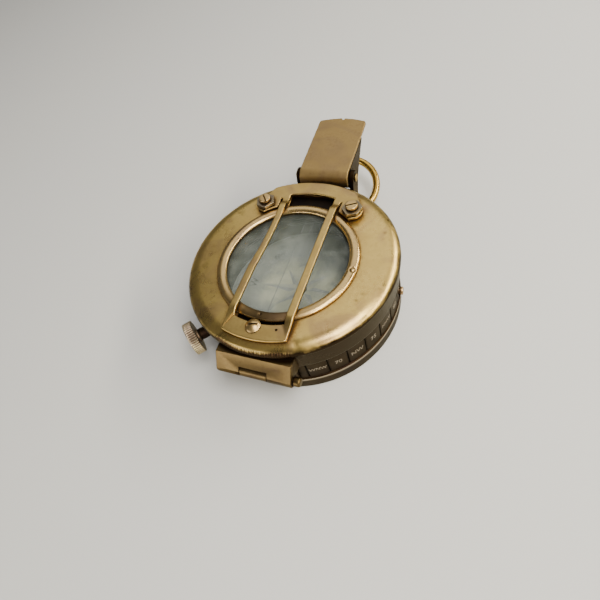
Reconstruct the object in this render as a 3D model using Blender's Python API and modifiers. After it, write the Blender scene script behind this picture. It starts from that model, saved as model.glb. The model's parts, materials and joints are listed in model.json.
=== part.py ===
"""Pocket geology compass in brass: a round case under a deep hinged lid, with a prism arm and a thumb ring.

Sizes are in millimetres and become metres as each mesh is made. The origin is the centre of the
underside. +Z is up, +Y points to the prism arm and the thumb ring, and -Y to the lid's hinge.
"""

import math

import bmesh
import bpy
from mathutils import Matrix, Vector

MM = 0.001
GAP = 0.3  # clearance between neighbouring pieces
ROUND = 56  # sides of the large turned pieces
SMALL_ROUND = 16  # sides of pins, screws and bores

# Case
WALL_R = 36.2
WALL_TOP = 15.5
FLANGE_R = 36.65
FLANGE_TOP = 5.6
CHAMBER_R = 31.2
GLASS_SEAT_Z = 9.6
GLASS_POCKET_R = 32.8
GROOVE_R = 34.2
GROOVE_Z = 12.5
FLOOR_TOP = 2.0
PLATE_R = 34.5
PLATE_T = 1.7
BASE_SCREW_R = 32.9

# Lid
LID_R = 37.5
LID_TOP = 27.1
LID_EDGE = 3.0
LID_STEP_Z = 23.8
LID_SKIRT_R = 36.8
LID_WALL = 1.0
LID_PLATE_T = 1.5
LID_BOTTOM = WALL_TOP + GAP
WINDOW_R = 24.3
SLOT_HALF_X = 9.0
SLOT_FRONT_Y = -28.3
SLOT_BACK_Y = 28.6

# Window: its centre stands a little nearer to the hinge than the lid's
WINDOW_Y = -1.9
BEAD_R = 23.25
BEAD_HALF = 1.75
BEAD_HEIGHT = 1.0
WINDOW_GLASS_R = 22.8
WINDOW_GLASS_Z = 25.3
WINDOW_GLASS_T = 1.0

# Guard over the window
GUARD_T = 1.2
GUARD_Z = LID_TOP + GAP
GUARD_LIFT = 1.3
GUARD_R = 34.3
GUARD_HALF_X = 11.3
BAR_INNER_X = 8.7
GUARD_ARCH_R = 28.4
LEFT_BAR_OUTER_BOW = 1.2
LEFT_BAR_INNER_BOW = 0.8
LEFT_BAR_BOW_Y = 9.0
EAR_SCREW = (16.8, 21.7)
EAR_R = 3.6
EAR_INNER_R = BEAD_R + BEAD_HALF + 0.4
FRONT_SCREW = (-0.9, -29.7)

# Lid hinge
HINGE_Y = -39.5
HINGE_Z = 16.3
HINGE_R = 2.3
HINGE_HALF_X = 13.3
KNUCKLE_HALF_X = 4.7
HINGE_PIN_R = 1.1

# Bezel and compass card
BEZEL_R = 35.2
BEZEL_BOTTOM = WALL_TOP + 0.4
BEZEL_TOP = 20.0
BEZEL_GLASS_R = 31.6
BEZEL_GLASS_Z = 17.9
GLASS_T = 1.0
CARD_R = 28.6
CARD_Z = 6.0
CARD_T = 0.6

# Bezel clamp
CLAMP_AZIMUTH = -133.0
CLAMP_Z = 13.2
CLAMP_HEAD_R = 6.1
CLAMP_HEAD_AT = 41.2
CLAMP_HEAD_T = 3.2
KNURL_TEETH = 40
KNURL_DEPTH = 0.35

# Card brake
BRAKE_AZIMUTH = 8.0
BRAKE_Z = 8.0
BRAKE_STEM_R = 1.1
BRAKE_CAP_AT = 36.7
BRAKE_CAP_R = 1.5
BRAKE_WELL_AT = 35.3

# Prism arm
FOLD_Y = 42.4
FOLD_Z = 24.7
ROLL_R = 4.2
ARM_T = 1.2
ARM_HALF_X = 9.8
ARM_TIP_Y = 70.2
ARM_TIP_Z = 30.8
CHEEK_INNER_X = 8.6
FRONT_WALL_Y = 45.2
FRONT_WALL_T = 1.2
LENS_Z = 21.6
LENS_R = 3.6
ARM_PIN_R = 1.0

# Arm bracket and guide
BRACKET_Y = 38.8
BRACKET_T = 1.4
EAR_INNER_X = 10.2
EAR_OUTER_X = 11.6
GUIDE_SCREW_X = 5.0
GUIDE_SCREW_Z = 11.5
FOCUS_TRAVEL = 3.0

# Thumb ring
RING_R = 15.2
RING_WIRE_R = 1.5
RING_PIVOT_Y = 39.6
RING_PIVOT_Z = 3.4
RING_TILT = 14.0

# Sideways plane for outlines drawn as (y, z): they are extruded along X.
SIDE_PLANE = Matrix(((0, 0, 1, 0), (1, 0, 0, 0), (0, 1, 0, 0), (0, 0, 0, 1)))


# ---------------------------------------------------------------- scene, collections and materials


def clear_scene():
    for obj in list(bpy.data.objects):
        bpy.data.objects.remove(obj, do_unlink=True)


def new_collection(name):
    collection = bpy.data.collections.new(name)
    bpy.context.scene.collection.children.link(collection)
    return collection


def new_material(name, colour, roughness, metallic, alpha=1.0):
    material = bpy.data.materials.new(name)
    material.use_nodes = True
    shader = material.node_tree.nodes["Principled BSDF"]
    shader.inputs["Base Color"].default_value = (*colour, 1.0)
    shader.inputs["Roughness"].default_value = roughness
    shader.inputs["Metallic"].default_value = metallic
    shader.inputs["Alpha"].default_value = alpha
    return material


clear_scene()
PARTS = new_collection("geology_compass")
CUTTERS = new_collection("cutters")
CUTTERS.hide_render = True

LID_BRASS = new_material("lid_brass", (0.62, 0.46, 0.20), 0.35, 1.0)
SATIN_BRASS = new_material("satin_brass", (0.70, 0.50, 0.27), 0.40, 1.0)
DARK_BRASS = new_material("dark_brass", (0.33, 0.22, 0.10), 0.50, 1.0)
STEEL = new_material("steel", (0.55, 0.55, 0.56), 0.35, 1.0)
GLASS = new_material("glass", (0.80, 0.88, 0.84), 0.05, 0.0, 0.3)
CARD = new_material("card", (0.85, 0.82, 0.70), 0.60, 0.0)


# ---------------------------------------------------------------- making and placing shapes


def move(x, y, z):
    return Matrix.Translation(Vector((x, y, z)) * MM)


def radial(azimuth, z):
    """The frame of a piece on a radius of the case: its Z runs outwards, its Y up."""
    turn = Matrix.Rotation(math.radians(azimuth), 4, "Z")
    outward = Matrix(((0, 0, 1, 0), (1, 0, 0, 0), (0, 1, 0, 0), (0, 0, 0, 1)))
    return move(0, 0, z) @ turn @ outward


def sideways(x, y, z):
    """A frame whose Z runs along world X, from the point given."""
    return move(x, y, z) @ Matrix.Rotation(math.pi / 2, 4, "Y")


def arc(centre, radius, start, end, count):
    """Points of an arc, both ends included, at angles in degrees."""
    angles = [start + (end - start) * i / (count - 1) for i in range(count)]
    return [
        (
            centre[0] + radius * math.cos(math.radians(a)),
            centre[1] + radius * math.sin(math.radians(a)),
        )
        for a in angles
    ]


def link(name, data, material, matrix=Matrix()):
    obj = bpy.data.objects.new(name, data)
    obj.matrix_world = matrix
    if data is not None:
        data.name = name
        data.materials.clear()
        data.materials.append(material)
    PARTS.objects.link(obj)
    return obj


def freeze(obj, material):
    """Turns a curve or a modified mesh into a plain mesh, shaded smooth across its shallow edges."""
    graph = bpy.context.evaluated_depsgraph_get()
    mesh = bpy.data.meshes.new_from_object(obj.evaluated_get(graph))
    name = obj.name
    matrix = obj.matrix_world.copy()
    bpy.data.objects.remove(obj, do_unlink=True)
    bm = bmesh.new()
    bm.from_mesh(mesh)
    bmesh.ops.remove_doubles(bm, verts=bm.verts, dist=0.00001)
    bm.to_mesh(mesh)
    bm.free()
    mesh.shade_smooth()
    mesh.set_sharp_from_angle(angle=math.radians(35))
    return link(name, mesh, material, matrix)


def turned(name, profile, material, matrix=Matrix(), sides=ROUND, closed=True):
    """Turns (radius, height) points about Z. They run down the outer side, top to bottom."""
    bm = bmesh.new()
    points = [bm.verts.new((r * MM, 0, z * MM)) for r, z in profile]
    ends = points[1:] + points[:1] if closed else points[1:]
    for first, second in zip(points, ends):
        bm.edges.new((first, second))
    mesh = bpy.data.meshes.new(name)
    bm.to_mesh(mesh)
    bm.free()
    obj = link(name, mesh, material, matrix)
    screw = obj.modifiers.new("Turn", "SCREW")
    screw.steps = sides
    screw.render_steps = sides
    screw.use_merge_vertices = True
    screw.merge_threshold = 0.00001
    bpy.context.view_layer.update()
    return freeze(obj, material)


def plate(name, outlines, low, high, material, matrix=Matrix()):
    """Extrudes closed outlines along the frame's Z; an outline inside another is a hole."""
    curve = bpy.data.curves.new(name, "CURVE")
    curve.dimensions = "2D"
    curve.fill_mode = "BOTH"
    curve.extrude = (high - low) / 2 * MM
    for outline in outlines:
        spline = curve.splines.new("POLY")
        spline.points.add(len(outline) - 1)
        for point, (x, y) in zip(spline.points, outline):
            point.co = (x * MM, y * MM, 0, 1)
        spline.use_cyclic_u = True
    obj = link(name, curve, material, matrix @ move(0, 0, (low + high) / 2))
    bpy.context.view_layer.update()
    return freeze(obj, material)


def box(name, low, high, material, matrix=Matrix()):
    size = Vector(high) - Vector(low)
    middle = (Vector(high) + Vector(low)) / 2
    bm = bmesh.new()
    bmesh.ops.create_cube(bm, size=1.0)
    bmesh.ops.scale(bm, vec=size * MM, verts=bm.verts)
    mesh = bpy.data.meshes.new(name)
    bm.to_mesh(mesh)
    bm.free()
    return link(name, mesh, material, matrix @ move(*middle))


def rod(name, radius, low, high, material, matrix=Matrix(), sides=SMALL_ROUND):
    """A cylinder along the frame's Z, from low to high."""
    bm = bmesh.new()
    bmesh.ops.create_cone(
        bm,
        cap_ends=True,
        segments=sides,
        radius1=radius * MM,
        radius2=radius * MM,
        depth=(high - low) * MM,
    )
    mesh = bpy.data.meshes.new(name)
    bm.to_mesh(mesh)
    bm.free()
    mesh.shade_smooth()
    mesh.set_sharp_from_angle(angle=math.radians(35))
    return link(name, mesh, material, matrix @ move(0, 0, (low + high) / 2))


def shape_with(obj, tool, operation):
    """A Boolean on obj; the tool is hidden and moves with the first piece that it shapes."""
    modifier = obj.modifiers.new(tool.name, "BOOLEAN")
    modifier.operation = operation
    modifier.object = tool
    modifier.solver = "EXACT"
    if tool.name in CUTTERS.objects:
        return
    PARTS.objects.unlink(tool)
    CUTTERS.objects.link(tool)
    tool.hide_render = True
    tool.display_type = "WIRE"
    tool.parent = obj
    tool.matrix_parent_inverse = obj.matrix_basis.inverted()


def cut(obj, tool):
    shape_with(obj, tool, "DIFFERENCE")


def join(obj, tool):
    shape_with(obj, tool, "UNION")


def soften(obj, width):
    bevel = obj.modifiers.new("Soft edges", "BEVEL")
    bevel.width = width * MM
    bevel.segments = 1
    bevel.limit_method = "ANGLE"
    bevel.angle_limit = math.radians(40)


def drill(pieces, radius, low, high, matrix):
    """One round hole through one or more pieces."""
    tool = rod(f"bore_{pieces[0].name}_{len(CUTTERS.objects)}", radius, low, high, STEEL, matrix)
    for piece in pieces:
        cut(piece, tool)


def hug(piece, radius):
    """Hollows the inner side of a block so that it sits round the case."""
    tool = rod(f"round_of_{piece.name}", radius, -2, 40, STEEL, sides=ROUND)
    cut(piece, tool)


def slotted_screw(name, head_r, head_h, shank_r, shank, material, matrix, domed=False):
    """Its head stands on the frame's plane z = 0 and its shank runs down from there."""
    if domed:
        head = [(0, head_h), (head_r * 0.55, head_h * 0.88), (head_r * 0.88, head_h * 0.5)]
    else:
        head = [(0, head_h), (head_r - 0.2, head_h)]
    head += [(head_r, head_h * (0.2 if domed else 0.8)), (head_r, 0)]
    profile = head + [(shank_r, 0), (shank_r, -shank), (0, -shank)]
    obj = turned(name, profile, material, matrix, sides=SMALL_ROUND, closed=False)
    low = (-head_r - 1, -head_r * 0.16, head_h * 0.45)
    high = (head_r + 1, head_r * 0.16, head_h + 1)
    cut(obj, box(f"slot_of_{name}", low, high, STEEL, matrix))
    return obj


def carry(name, place, pieces):
    """Parents pieces to an empty that stands on their joint's axis."""
    empty = bpy.data.objects.new(name, None)
    empty.matrix_world = move(*place)
    empty.empty_display_size = 5 * MM
    PARTS.objects.link(empty)
    for piece in pieces:
        piece.parent = empty
        piece.matrix_parent_inverse = move(*place).inverted()
    return empty


# ---------------------------------------------------------------- case


def make_case():
    profile = [
        (GROOVE_R, WALL_TOP),
        (WALL_R - 0.2, WALL_TOP),
        (WALL_R, WALL_TOP - 0.2),
        (WALL_R, FLANGE_TOP + 0.3),
        (FLANGE_R, FLANGE_TOP),
        (FLANGE_R, 0.6),
        (FLANGE_R - 0.6, 0),
        (PLATE_R + GAP, 0),
        (PLATE_R + GAP, FLOOR_TOP),
        (CHAMBER_R, FLOOR_TOP),
        (CHAMBER_R, GLASS_SEAT_Z),
        (GLASS_POCKET_R, GLASS_SEAT_Z),
        (GLASS_POCKET_R, GROOVE_Z),
        (GROOVE_R, GROOVE_Z),
    ]
    return turned("case_body", profile, DARK_BRASS)


def make_base(case):
    edge = 0.3
    profile = [(0, PLATE_T), (PLATE_R - edge, PLATE_T), (PLATE_R, PLATE_T - edge)]
    profile += [(PLATE_R, edge), (PLATE_R - edge, 0), (0, 0)]
    base = turned("base_plate", profile, DARK_BRASS, closed=False)
    for i in range(3):
        angle = math.radians(90 + 120 * i)
        x = BASE_SCREW_R * math.cos(angle)
        y = BASE_SCREW_R * math.sin(angle)
        upside_down = move(x, y, 0.95) @ Matrix.Rotation(math.pi, 4, "X")
        name = f"base_screw_{i + 1}"
        slotted_screw(name, 1.25, 0.8, 0.6, 2.6, STEEL, upside_down)
        drill([base], 1.55, -1, 1.25, move(x, y, 0))
        drill([base, case], 0.9, -1, 4.0, move(x, y, 0))
    post = [(0, 7.0), (0.4, 6.2), (0.4, 3.9), (1.0, 3.9), (1.0, 2.8), (3.0, 2.8)]
    post += [(3.0, PLATE_T + GAP), (0, PLATE_T + GAP)]
    turned("pivot_post", post, STEEL, sides=SMALL_ROUND, closed=False)


def make_case_glass():
    low = GLASS_SEAT_Z + GAP
    high = low + GLASS_T
    rod("case_glass", GLASS_POCKET_R - GAP, low, high, GLASS, sides=ROUND)
    outer = GLASS_POCKET_R - GAP
    ring = [(outer - 2.1, high + 1.3), (outer, high + 1.3), (outer, high + GAP)]
    ring += [(outer - 2.1, high + GAP)]
    turned("case_glass_ring", ring, DARK_BRASS, sides=48)


def make_card():
    hole = 2.0
    card = [(hole, CARD_Z + CARD_T), (CARD_R, CARD_Z + CARD_T), (CARD_R, CARD_Z), (hole, CARD_Z)]
    pieces = [turned("compass_card", card, CARD, sides=48)]
    magnet = box("magnet_bar", (-2.8, -18, CARD_Z - 1.5), (2.8, 18, CARD_Z - GAP), STEEL)
    drill([magnet], hole, 0, 8, Matrix())
    cap = [(0, 8.1), (0.9, 7.9), (1.7, 7.2), (1.7, 4.6), (0.75, 4.6), (0.75, 6.4), (0, 7.35)]
    pieces += [magnet, turned("jewel_cap", cap, DARK_BRASS, sides=SMALL_ROUND, closed=False)]
    carry("card_axis", (0, 0, CARD_Z), pieces)


def make_bezel():
    inner = BEZEL_GLASS_R + GAP
    profile = [
        (inner, BEZEL_TOP),
        (BEZEL_R - 0.6, BEZEL_TOP),
        (BEZEL_R, BEZEL_TOP - 0.6),
        (BEZEL_R, BEZEL_BOTTOM),
        (GROOVE_R - GAP, BEZEL_BOTTOM),
        (GROOVE_R - GAP, GROOVE_Z + GAP),
        (GROOVE_R - GAP - 0.9, GROOVE_Z + GAP),
        (GROOVE_R - GAP - 0.9, BEZEL_BOTTOM),
        (inner - 1.5, BEZEL_BOTTOM),
        (inner - 1.5, BEZEL_GLASS_Z - GAP),
        (inner, BEZEL_GLASS_Z - GAP),
    ]
    ring = turned("bezel_ring", profile, SATIN_BRASS)
    top = BEZEL_GLASS_Z + GLASS_T
    glass = rod("bezel_glass", BEZEL_GLASS_R, BEZEL_GLASS_Z, top, GLASS, sides=ROUND)
    carry("bezel_axis", (0, 0, BEZEL_BOTTOM), [ring, glass])


# ---------------------------------------------------------------- lid


def make_lid_shell():
    centre = (LID_R - LID_EDGE, LID_TOP - LID_EDGE)
    rim = arc(centre, LID_EDGE, 90, 0, 6)
    under = LID_TOP - LID_PLATE_T
    inner = LID_SKIRT_R - LID_WALL
    hub = 10.0
    profile = [(hub, LID_TOP)] + rim
    profile += [(LID_R, LID_STEP_Z), (LID_SKIRT_R, LID_STEP_Z - 0.2)]
    profile += [(LID_SKIRT_R, LID_BOTTOM), (inner, LID_BOTTOM), (inner, under - 2.0)]
    profile += [(inner - 1.5, under), (hub, under)]
    lid = turned("lid_shell", profile, LID_BRASS)
    centre = move(0, WINDOW_Y, 0)
    opening = rod("window_opening", WINDOW_R, under - 1, LID_TOP + 1, STEEL, centre, sides=ROUND)
    cut(lid, opening)
    low = (-SLOT_HALF_X, SLOT_FRONT_Y, under - 1)
    high = (SLOT_HALF_X, SLOT_BACK_Y, LID_TOP + 1)
    cut(lid, box("slots_beside_window", low, high, STEEL))
    return lid


def make_window():
    """The bead ring stands in the lid's opening and holds the glass from inside."""
    base = LID_TOP + GAP
    bead = [
        (BEAD_R - BEAD_HALF * math.cos(math.pi * i / 6), base + BEAD_HEIGHT * math.sin(math.pi * i / 6))
        for i in range(7)
    ]
    spigot = WINDOW_R - GAP
    pocket = WINDOW_GLASS_R + GAP
    bottom = WINDOW_GLASS_Z - 1.1
    profile = bead + [(spigot, base), (spigot, bottom), (pocket, bottom)]
    profile += [(pocket, WINDOW_GLASS_Z + WINDOW_GLASS_T + GAP)]
    profile += [(BEAD_R - BEAD_HALF, WINDOW_GLASS_Z + WINDOW_GLASS_T + GAP)]
    centre = move(0, WINDOW_Y, 0)
    ring = turned("window_bead", profile, SATIN_BRASS, centre)
    top = WINDOW_GLASS_Z + WINDOW_GLASS_T
    glass = rod("window_glass", WINDOW_GLASS_R, WINDOW_GLASS_Z, top, GLASS, centre, sides=ROUND)
    high = WINDOW_GLASS_Z - GAP
    clip = [(WINDOW_GLASS_R - 1.2, high), (WINDOW_GLASS_R, high), (WINDOW_GLASS_R, bottom + 0.2)]
    clip += [(WINDOW_GLASS_R - 1.2, bottom + 0.2)]
    return [ring, glass, turned("window_clip", clip, DARK_BRASS, centre, sides=48)]


def bow(x, y, amount):
    """The left bar of the guard is bent a little towards the window's middle."""
    reach = 17.0
    return x + amount * max(0.0, 1 - ((y - LEFT_BAR_BOW_Y) / reach) ** 2)


def guard_plan():
    """The outer outline and the opening between the bars, seen from above."""
    half = math.degrees(math.asin(GUARD_HALF_X / GUARD_R))
    side = [-26 + 4 * i for i in range(14)]
    outer = arc((0, 0), GUARD_R, -90 - half, -90 + half, 7)
    outer += [(GUARD_HALF_X, y) for y in side]
    outer += arc((0, 0), GUARD_R, 90 - half, 90 + half, 7)
    outer += [(bow(-GUARD_HALF_X, y, LEFT_BAR_OUTER_BOW), y) for y in reversed(side)]
    half = math.degrees(math.asin(BAR_INNER_X / GUARD_ARCH_R))
    inner = arc((0, 0), GUARD_ARCH_R, -90 - half, -90 + half, 7)
    inner += [(BAR_INNER_X, y) for y in side]
    inner += arc((0, 0), GUARD_ARCH_R, 90 - half, 90 + half, 7)
    inner += [(bow(-BAR_INNER_X, y, LEFT_BAR_INNER_BOW), y) for y in reversed(side)]
    return [outer, inner]


def guard_side():
    """The strip of sheet seen from the side: flat ends, and bars that step up over the bead."""
    foot = BEAD_R + BEAD_HALF + 0.5
    knee = foot - 2.4
    ends = [(WINDOW_Y - foot, 0), (WINDOW_Y - knee, GUARD_LIFT), (0, GUARD_LIFT + 0.2)]
    ends += [(WINDOW_Y + knee, GUARD_LIFT), (WINDOW_Y + foot, 0)]
    shift = 0.3
    under = [(-36, 0)] + ends + [(36, 0)]
    top = [(36, 0)] + [(y - math.copysign(shift, y) if y else 0, z) for y, z in reversed(ends)]
    top += [(-36, 0)]
    return [(y, GUARD_Z + z) for y, z in under] + [(y, GUARD_Z + GUARD_T + z) for y, z in top]


def guard_ear(side):
    """A flat ear that runs from the end plate to its screw."""
    root = [(6.0, 29.0), (GUARD_HALF_X - 0.2, 26.6), (GUARD_HALF_X + 0.4, 25.2)]
    points = root + arc((0, WINDOW_Y), EAR_INNER_R, 61, 48, 5) + arc(EAR_SCREW, EAR_R, -60, 58, 7)
    points += arc((0, 0), GUARD_R - 0.05, 63, 80, 5)
    if side < 0:
        points = [(-x, y) for x, y in reversed(points)]
    return points


def make_guard(lid):
    sheet_top = GUARD_Z + GUARD_LIFT + GUARD_T + 2
    guard = plate("guard_frame", guard_plan(), GUARD_Z - 2, sheet_top, SATIN_BRASS)
    bend = plate("guard_bend", [guard_side()], -20, 20, STEEL, SIDE_PLANE)
    shape_with(guard, bend, "INTERSECT")
    for side in (-1, 1):
        name = f"guard_ear_{'left' if side < 0 else 'right'}"
        low = GUARD_Z + 0.05
        join(guard, plate(name, [guard_ear(side)], low, low + GUARD_T - 0.1, STEEL))
    pieces = [guard]
    nut_low = GUARD_Z + GUARD_T + GAP
    nut_high = nut_low + 1.3
    for side, word in ((-1, "left"), (1, "right")):
        x, y = side * EAR_SCREW[0], EAR_SCREW[1]
        nut = rod(f"guard_nut_{word}", 3.75, nut_low, nut_high, SATIN_BRASS, move(x, y, 0), sides=6)
        drill([nut, guard, lid], 1.1, LID_TOP - 4, nut_high + 2, move(x, y, 0))
        turn = Matrix.Rotation(math.radians(-25 * side), 4, "Z")
        place = move(x, y, nut_high + GAP) @ turn
        name = f"guard_screw_{word}"
        pieces += [nut, slotted_screw(name, 2.2, 1.1, 0.8, 6.0, SATIN_BRASS, place)]
    x, y = FRONT_SCREW
    drill([guard, lid], 0.9, LID_TOP - 4, nut_low + 2, move(x, y, 0))
    place = move(x, y, nut_low) @ Matrix.Rotation(math.radians(-20), 4, "Z")
    name = "guard_screw_front"
    pieces.append(slotted_screw(name, 2.5, 1.1, 0.6, 4.4, SATIN_BRASS, place, domed=True))
    return pieces


# ---------------------------------------------------------------- lid hinge


def hinge_barrel(name, low, high, material):
    return rod(name, HINGE_R, low, high, material, sideways(0, HINGE_Y, HINGE_Z), sides=24)


def make_lid_leaf():
    """A wedge on the lid's skirt that slopes down to the barrel, cut out for the case's knuckle."""
    top = HINGE_Z + 6.1
    outline = [(HINGE_Y + 0.2, HINGE_Z - 1.2), (HINGE_Y - 1.7, HINGE_Z + 1.4)]
    outline += [(HINGE_Y + 1.7, top), (HINGE_Y + 6.5, top), (HINGE_Y + 6.5, HINGE_Z - 0.4)]
    outline += [(HINGE_Y + 2.0, HINGE_Z - 0.4)]
    leaf = plate(
        "lid_hinge_leaf", [outline], -HINGE_HALF_X, HINGE_HALF_X, LID_BRASS, SIDE_PLANE
    )
    join(leaf, hinge_barrel("lid_barrel", -HINGE_HALF_X - 0.05, HINGE_HALF_X + 0.05, STEEL))
    hug(leaf, LID_SKIRT_R + GAP)
    reach = KNUCKLE_HALF_X + GAP
    low = (-reach, HINGE_Y - 4, HINGE_Z - 4)
    high = (reach, HINGE_Y + 5, HINGE_Z + 2.9)
    cut(leaf, box("knuckle_gap", low, high, STEEL))
    return leaf


def make_case_leaf():
    """The case's half of the hinge: a curved leaf on the wall and the middle knuckle."""
    inner = WALL_R + GAP
    half = 19.0
    outline = arc((0, 0), inner + 1.2, -90 - half, -90 + half, 11)
    outline += arc((0, 0), inner, -90 + half, -90 - half, 11)
    leaf = plate("case_hinge_leaf", [outline], FLANGE_TOP + 1.2, HINGE_Z - 2.9, DARK_BRASS)
    join(leaf, hinge_barrel("case_knuckle", -KNUCKLE_HALF_X, KNUCKLE_HALF_X, STEEL))
    side = [(HINGE_Y + 0.1, HINGE_Z - 1.9), (HINGE_Y + 1.6, HINGE_Z - 5.4)]
    side += [(HINGE_Y + 4.5, HINGE_Z - 5.4), (HINGE_Y + 4.5, HINGE_Z - 1.0)]
    side += [(HINGE_Y + 1.0, HINGE_Z - 1.0)]
    half_x = KNUCKLE_HALF_X - 0.05
    bridge = plate("knuckle_bridge", [side], -half_x, half_x, STEEL, SIDE_PLANE)
    cut(bridge, rod("bridge_round", inner + 0.2, 0, 30, STEEL, sides=ROUND))
    join(leaf, bridge)
    return leaf


def make_hinge_pin(leaves):
    frame = sideways(0, HINGE_Y, HINGE_Z)
    for leaf in leaves:
        drill([leaf], HINGE_PIN_R + GAP, -20, 20, frame)
    end = HINGE_HALF_X + 0.4
    profile = [(0, end + 2.1), (1.1, end + 2.0), (1.6, end + 1.4), (1.6, end)]
    profile += [(HINGE_PIN_R, end), (HINGE_PIN_R, -end - 0.2), (0, -end - 0.2)]
    turned("hinge_pin", profile, DARK_BRASS, frame, sides=SMALL_ROUND, closed=False)


# ---------------------------------------------------------------- bezel clamp and card brake


def knurled_outline(radius, teeth, depth):
    points = []
    for i in range(2 * teeth):
        points += arc((0, 0), radius - depth * (i % 2), 180 * i / teeth, 360, 2)[:1]
    return points


def make_clamp(case):
    frame = radial(CLAMP_AZIMUTH, CLAMP_Z)
    drill([case], 1.5, GROOVE_R - 0.2, WALL_R + 2, frame)
    boss = rod("clamp_boss", 2.2, WALL_R - 1, 40.2, DARK_BRASS, frame)
    hug(boss, WALL_R + GAP)
    drill([boss], 1.5, WALL_R - 3, 42, frame)
    shoe = rod("clamp_shoe", 1.2, GROOVE_R + 0.05, 35.6, DARK_BRASS, frame)
    outline = knurled_outline(CLAMP_HEAD_R, KNURL_TEETH, KNURL_DEPTH)
    far = CLAMP_HEAD_AT + CLAMP_HEAD_T
    screw = plate("clamp_screw", [outline], CLAMP_HEAD_AT, far, SATIN_BRASS, frame)
    stem = [(0, far - 0.5), (2.4, far - 0.5), (2.4, 40.5), (1.15, 40.5), (1.15, 35.9), (0, 35.9)]
    join(screw, turned("clamp_stem", stem, STEEL, frame, sides=SMALL_ROUND, closed=False))
    turn = math.radians(CLAMP_AZIMUTH)
    reach = WALL_R + 2
    place = (reach * math.cos(turn), reach * math.sin(turn), CLAMP_Z)
    carry("clamp_axis", place, [shoe, screw])


def make_brake(case):
    frame = radial(BRAKE_AZIMUTH, BRAKE_Z)
    drill([case], BRAKE_STEM_R + GAP, CHAMBER_R - 1, WALL_R + 1, frame)
    drill([case], BRAKE_CAP_R + GAP, BRAKE_WELL_AT, WALL_R + 1, frame)
    top = BRAKE_CAP_AT + 1.1
    profile = [(0, top), (BRAKE_CAP_R * 0.6, top - 0.15), (BRAKE_CAP_R, top - 0.5)]
    profile += [(BRAKE_CAP_R, BRAKE_CAP_AT)]
    profile += [(BRAKE_STEM_R, BRAKE_CAP_AT), (BRAKE_STEM_R, 30.8), (0, 30.8)]
    button = turned("brake_button", profile, SATIN_BRASS, frame, sides=20, closed=False)
    leaf = box("brake_leaf", (-4, -2.8, 30.0), (4, 1.0, 30.5), STEEL, frame)
    turn = math.radians(BRAKE_AZIMUTH)
    place = (WALL_R * math.cos(turn), WALL_R * math.sin(turn), BRAKE_Z)
    carry("brake_axis", place, [button, leaf])


# ---------------------------------------------------------------- prism arm


def arm_slope():
    """How much the strip rises for each millimetre that it runs out from the fold."""
    return (ARM_TIP_Z - FOLD_Z - ROLL_R) / (ARM_TIP_Y - FOLD_Y)


def make_arm_plate():
    """A strip that is rolled down round the fold, with a V notch in its far end."""
    fold = (FOLD_Y, FOLD_Z)
    outline = arc(fold, ROLL_R, 200, 93, 8)
    outline += [(ARM_TIP_Y, ARM_TIP_Z), (ARM_TIP_Y, ARM_TIP_Z - ARM_T)]
    outline += arc(fold, ROLL_R - ARM_T, 93, 200, 8)
    strip = plate("arm_strip", [outline], -ARM_HALF_X - 1, ARM_HALF_X + 1, SATIN_BRASS, SIDE_PLANE)
    corner = 1.2
    far = ARM_TIP_Y - 0.1
    plan = [(-ARM_HALF_X, 30), (ARM_HALF_X, 30)]
    plan += arc((ARM_HALF_X - corner, far - 1.3 - corner), corner, 0, 75, 4)
    plan += [(4.5, far - 0.35), (0.7, far), (0, far - 1.0), (-0.7, far), (-4.5, far - 0.35)]
    plan += arc((-ARM_HALF_X + corner, far - 1.3 - corner), corner, 105, 180, 4)
    shape_with(strip, plate("arm_plan", [plan], 15, 40, STEEL), "INTERSECT")
    return strip


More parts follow.
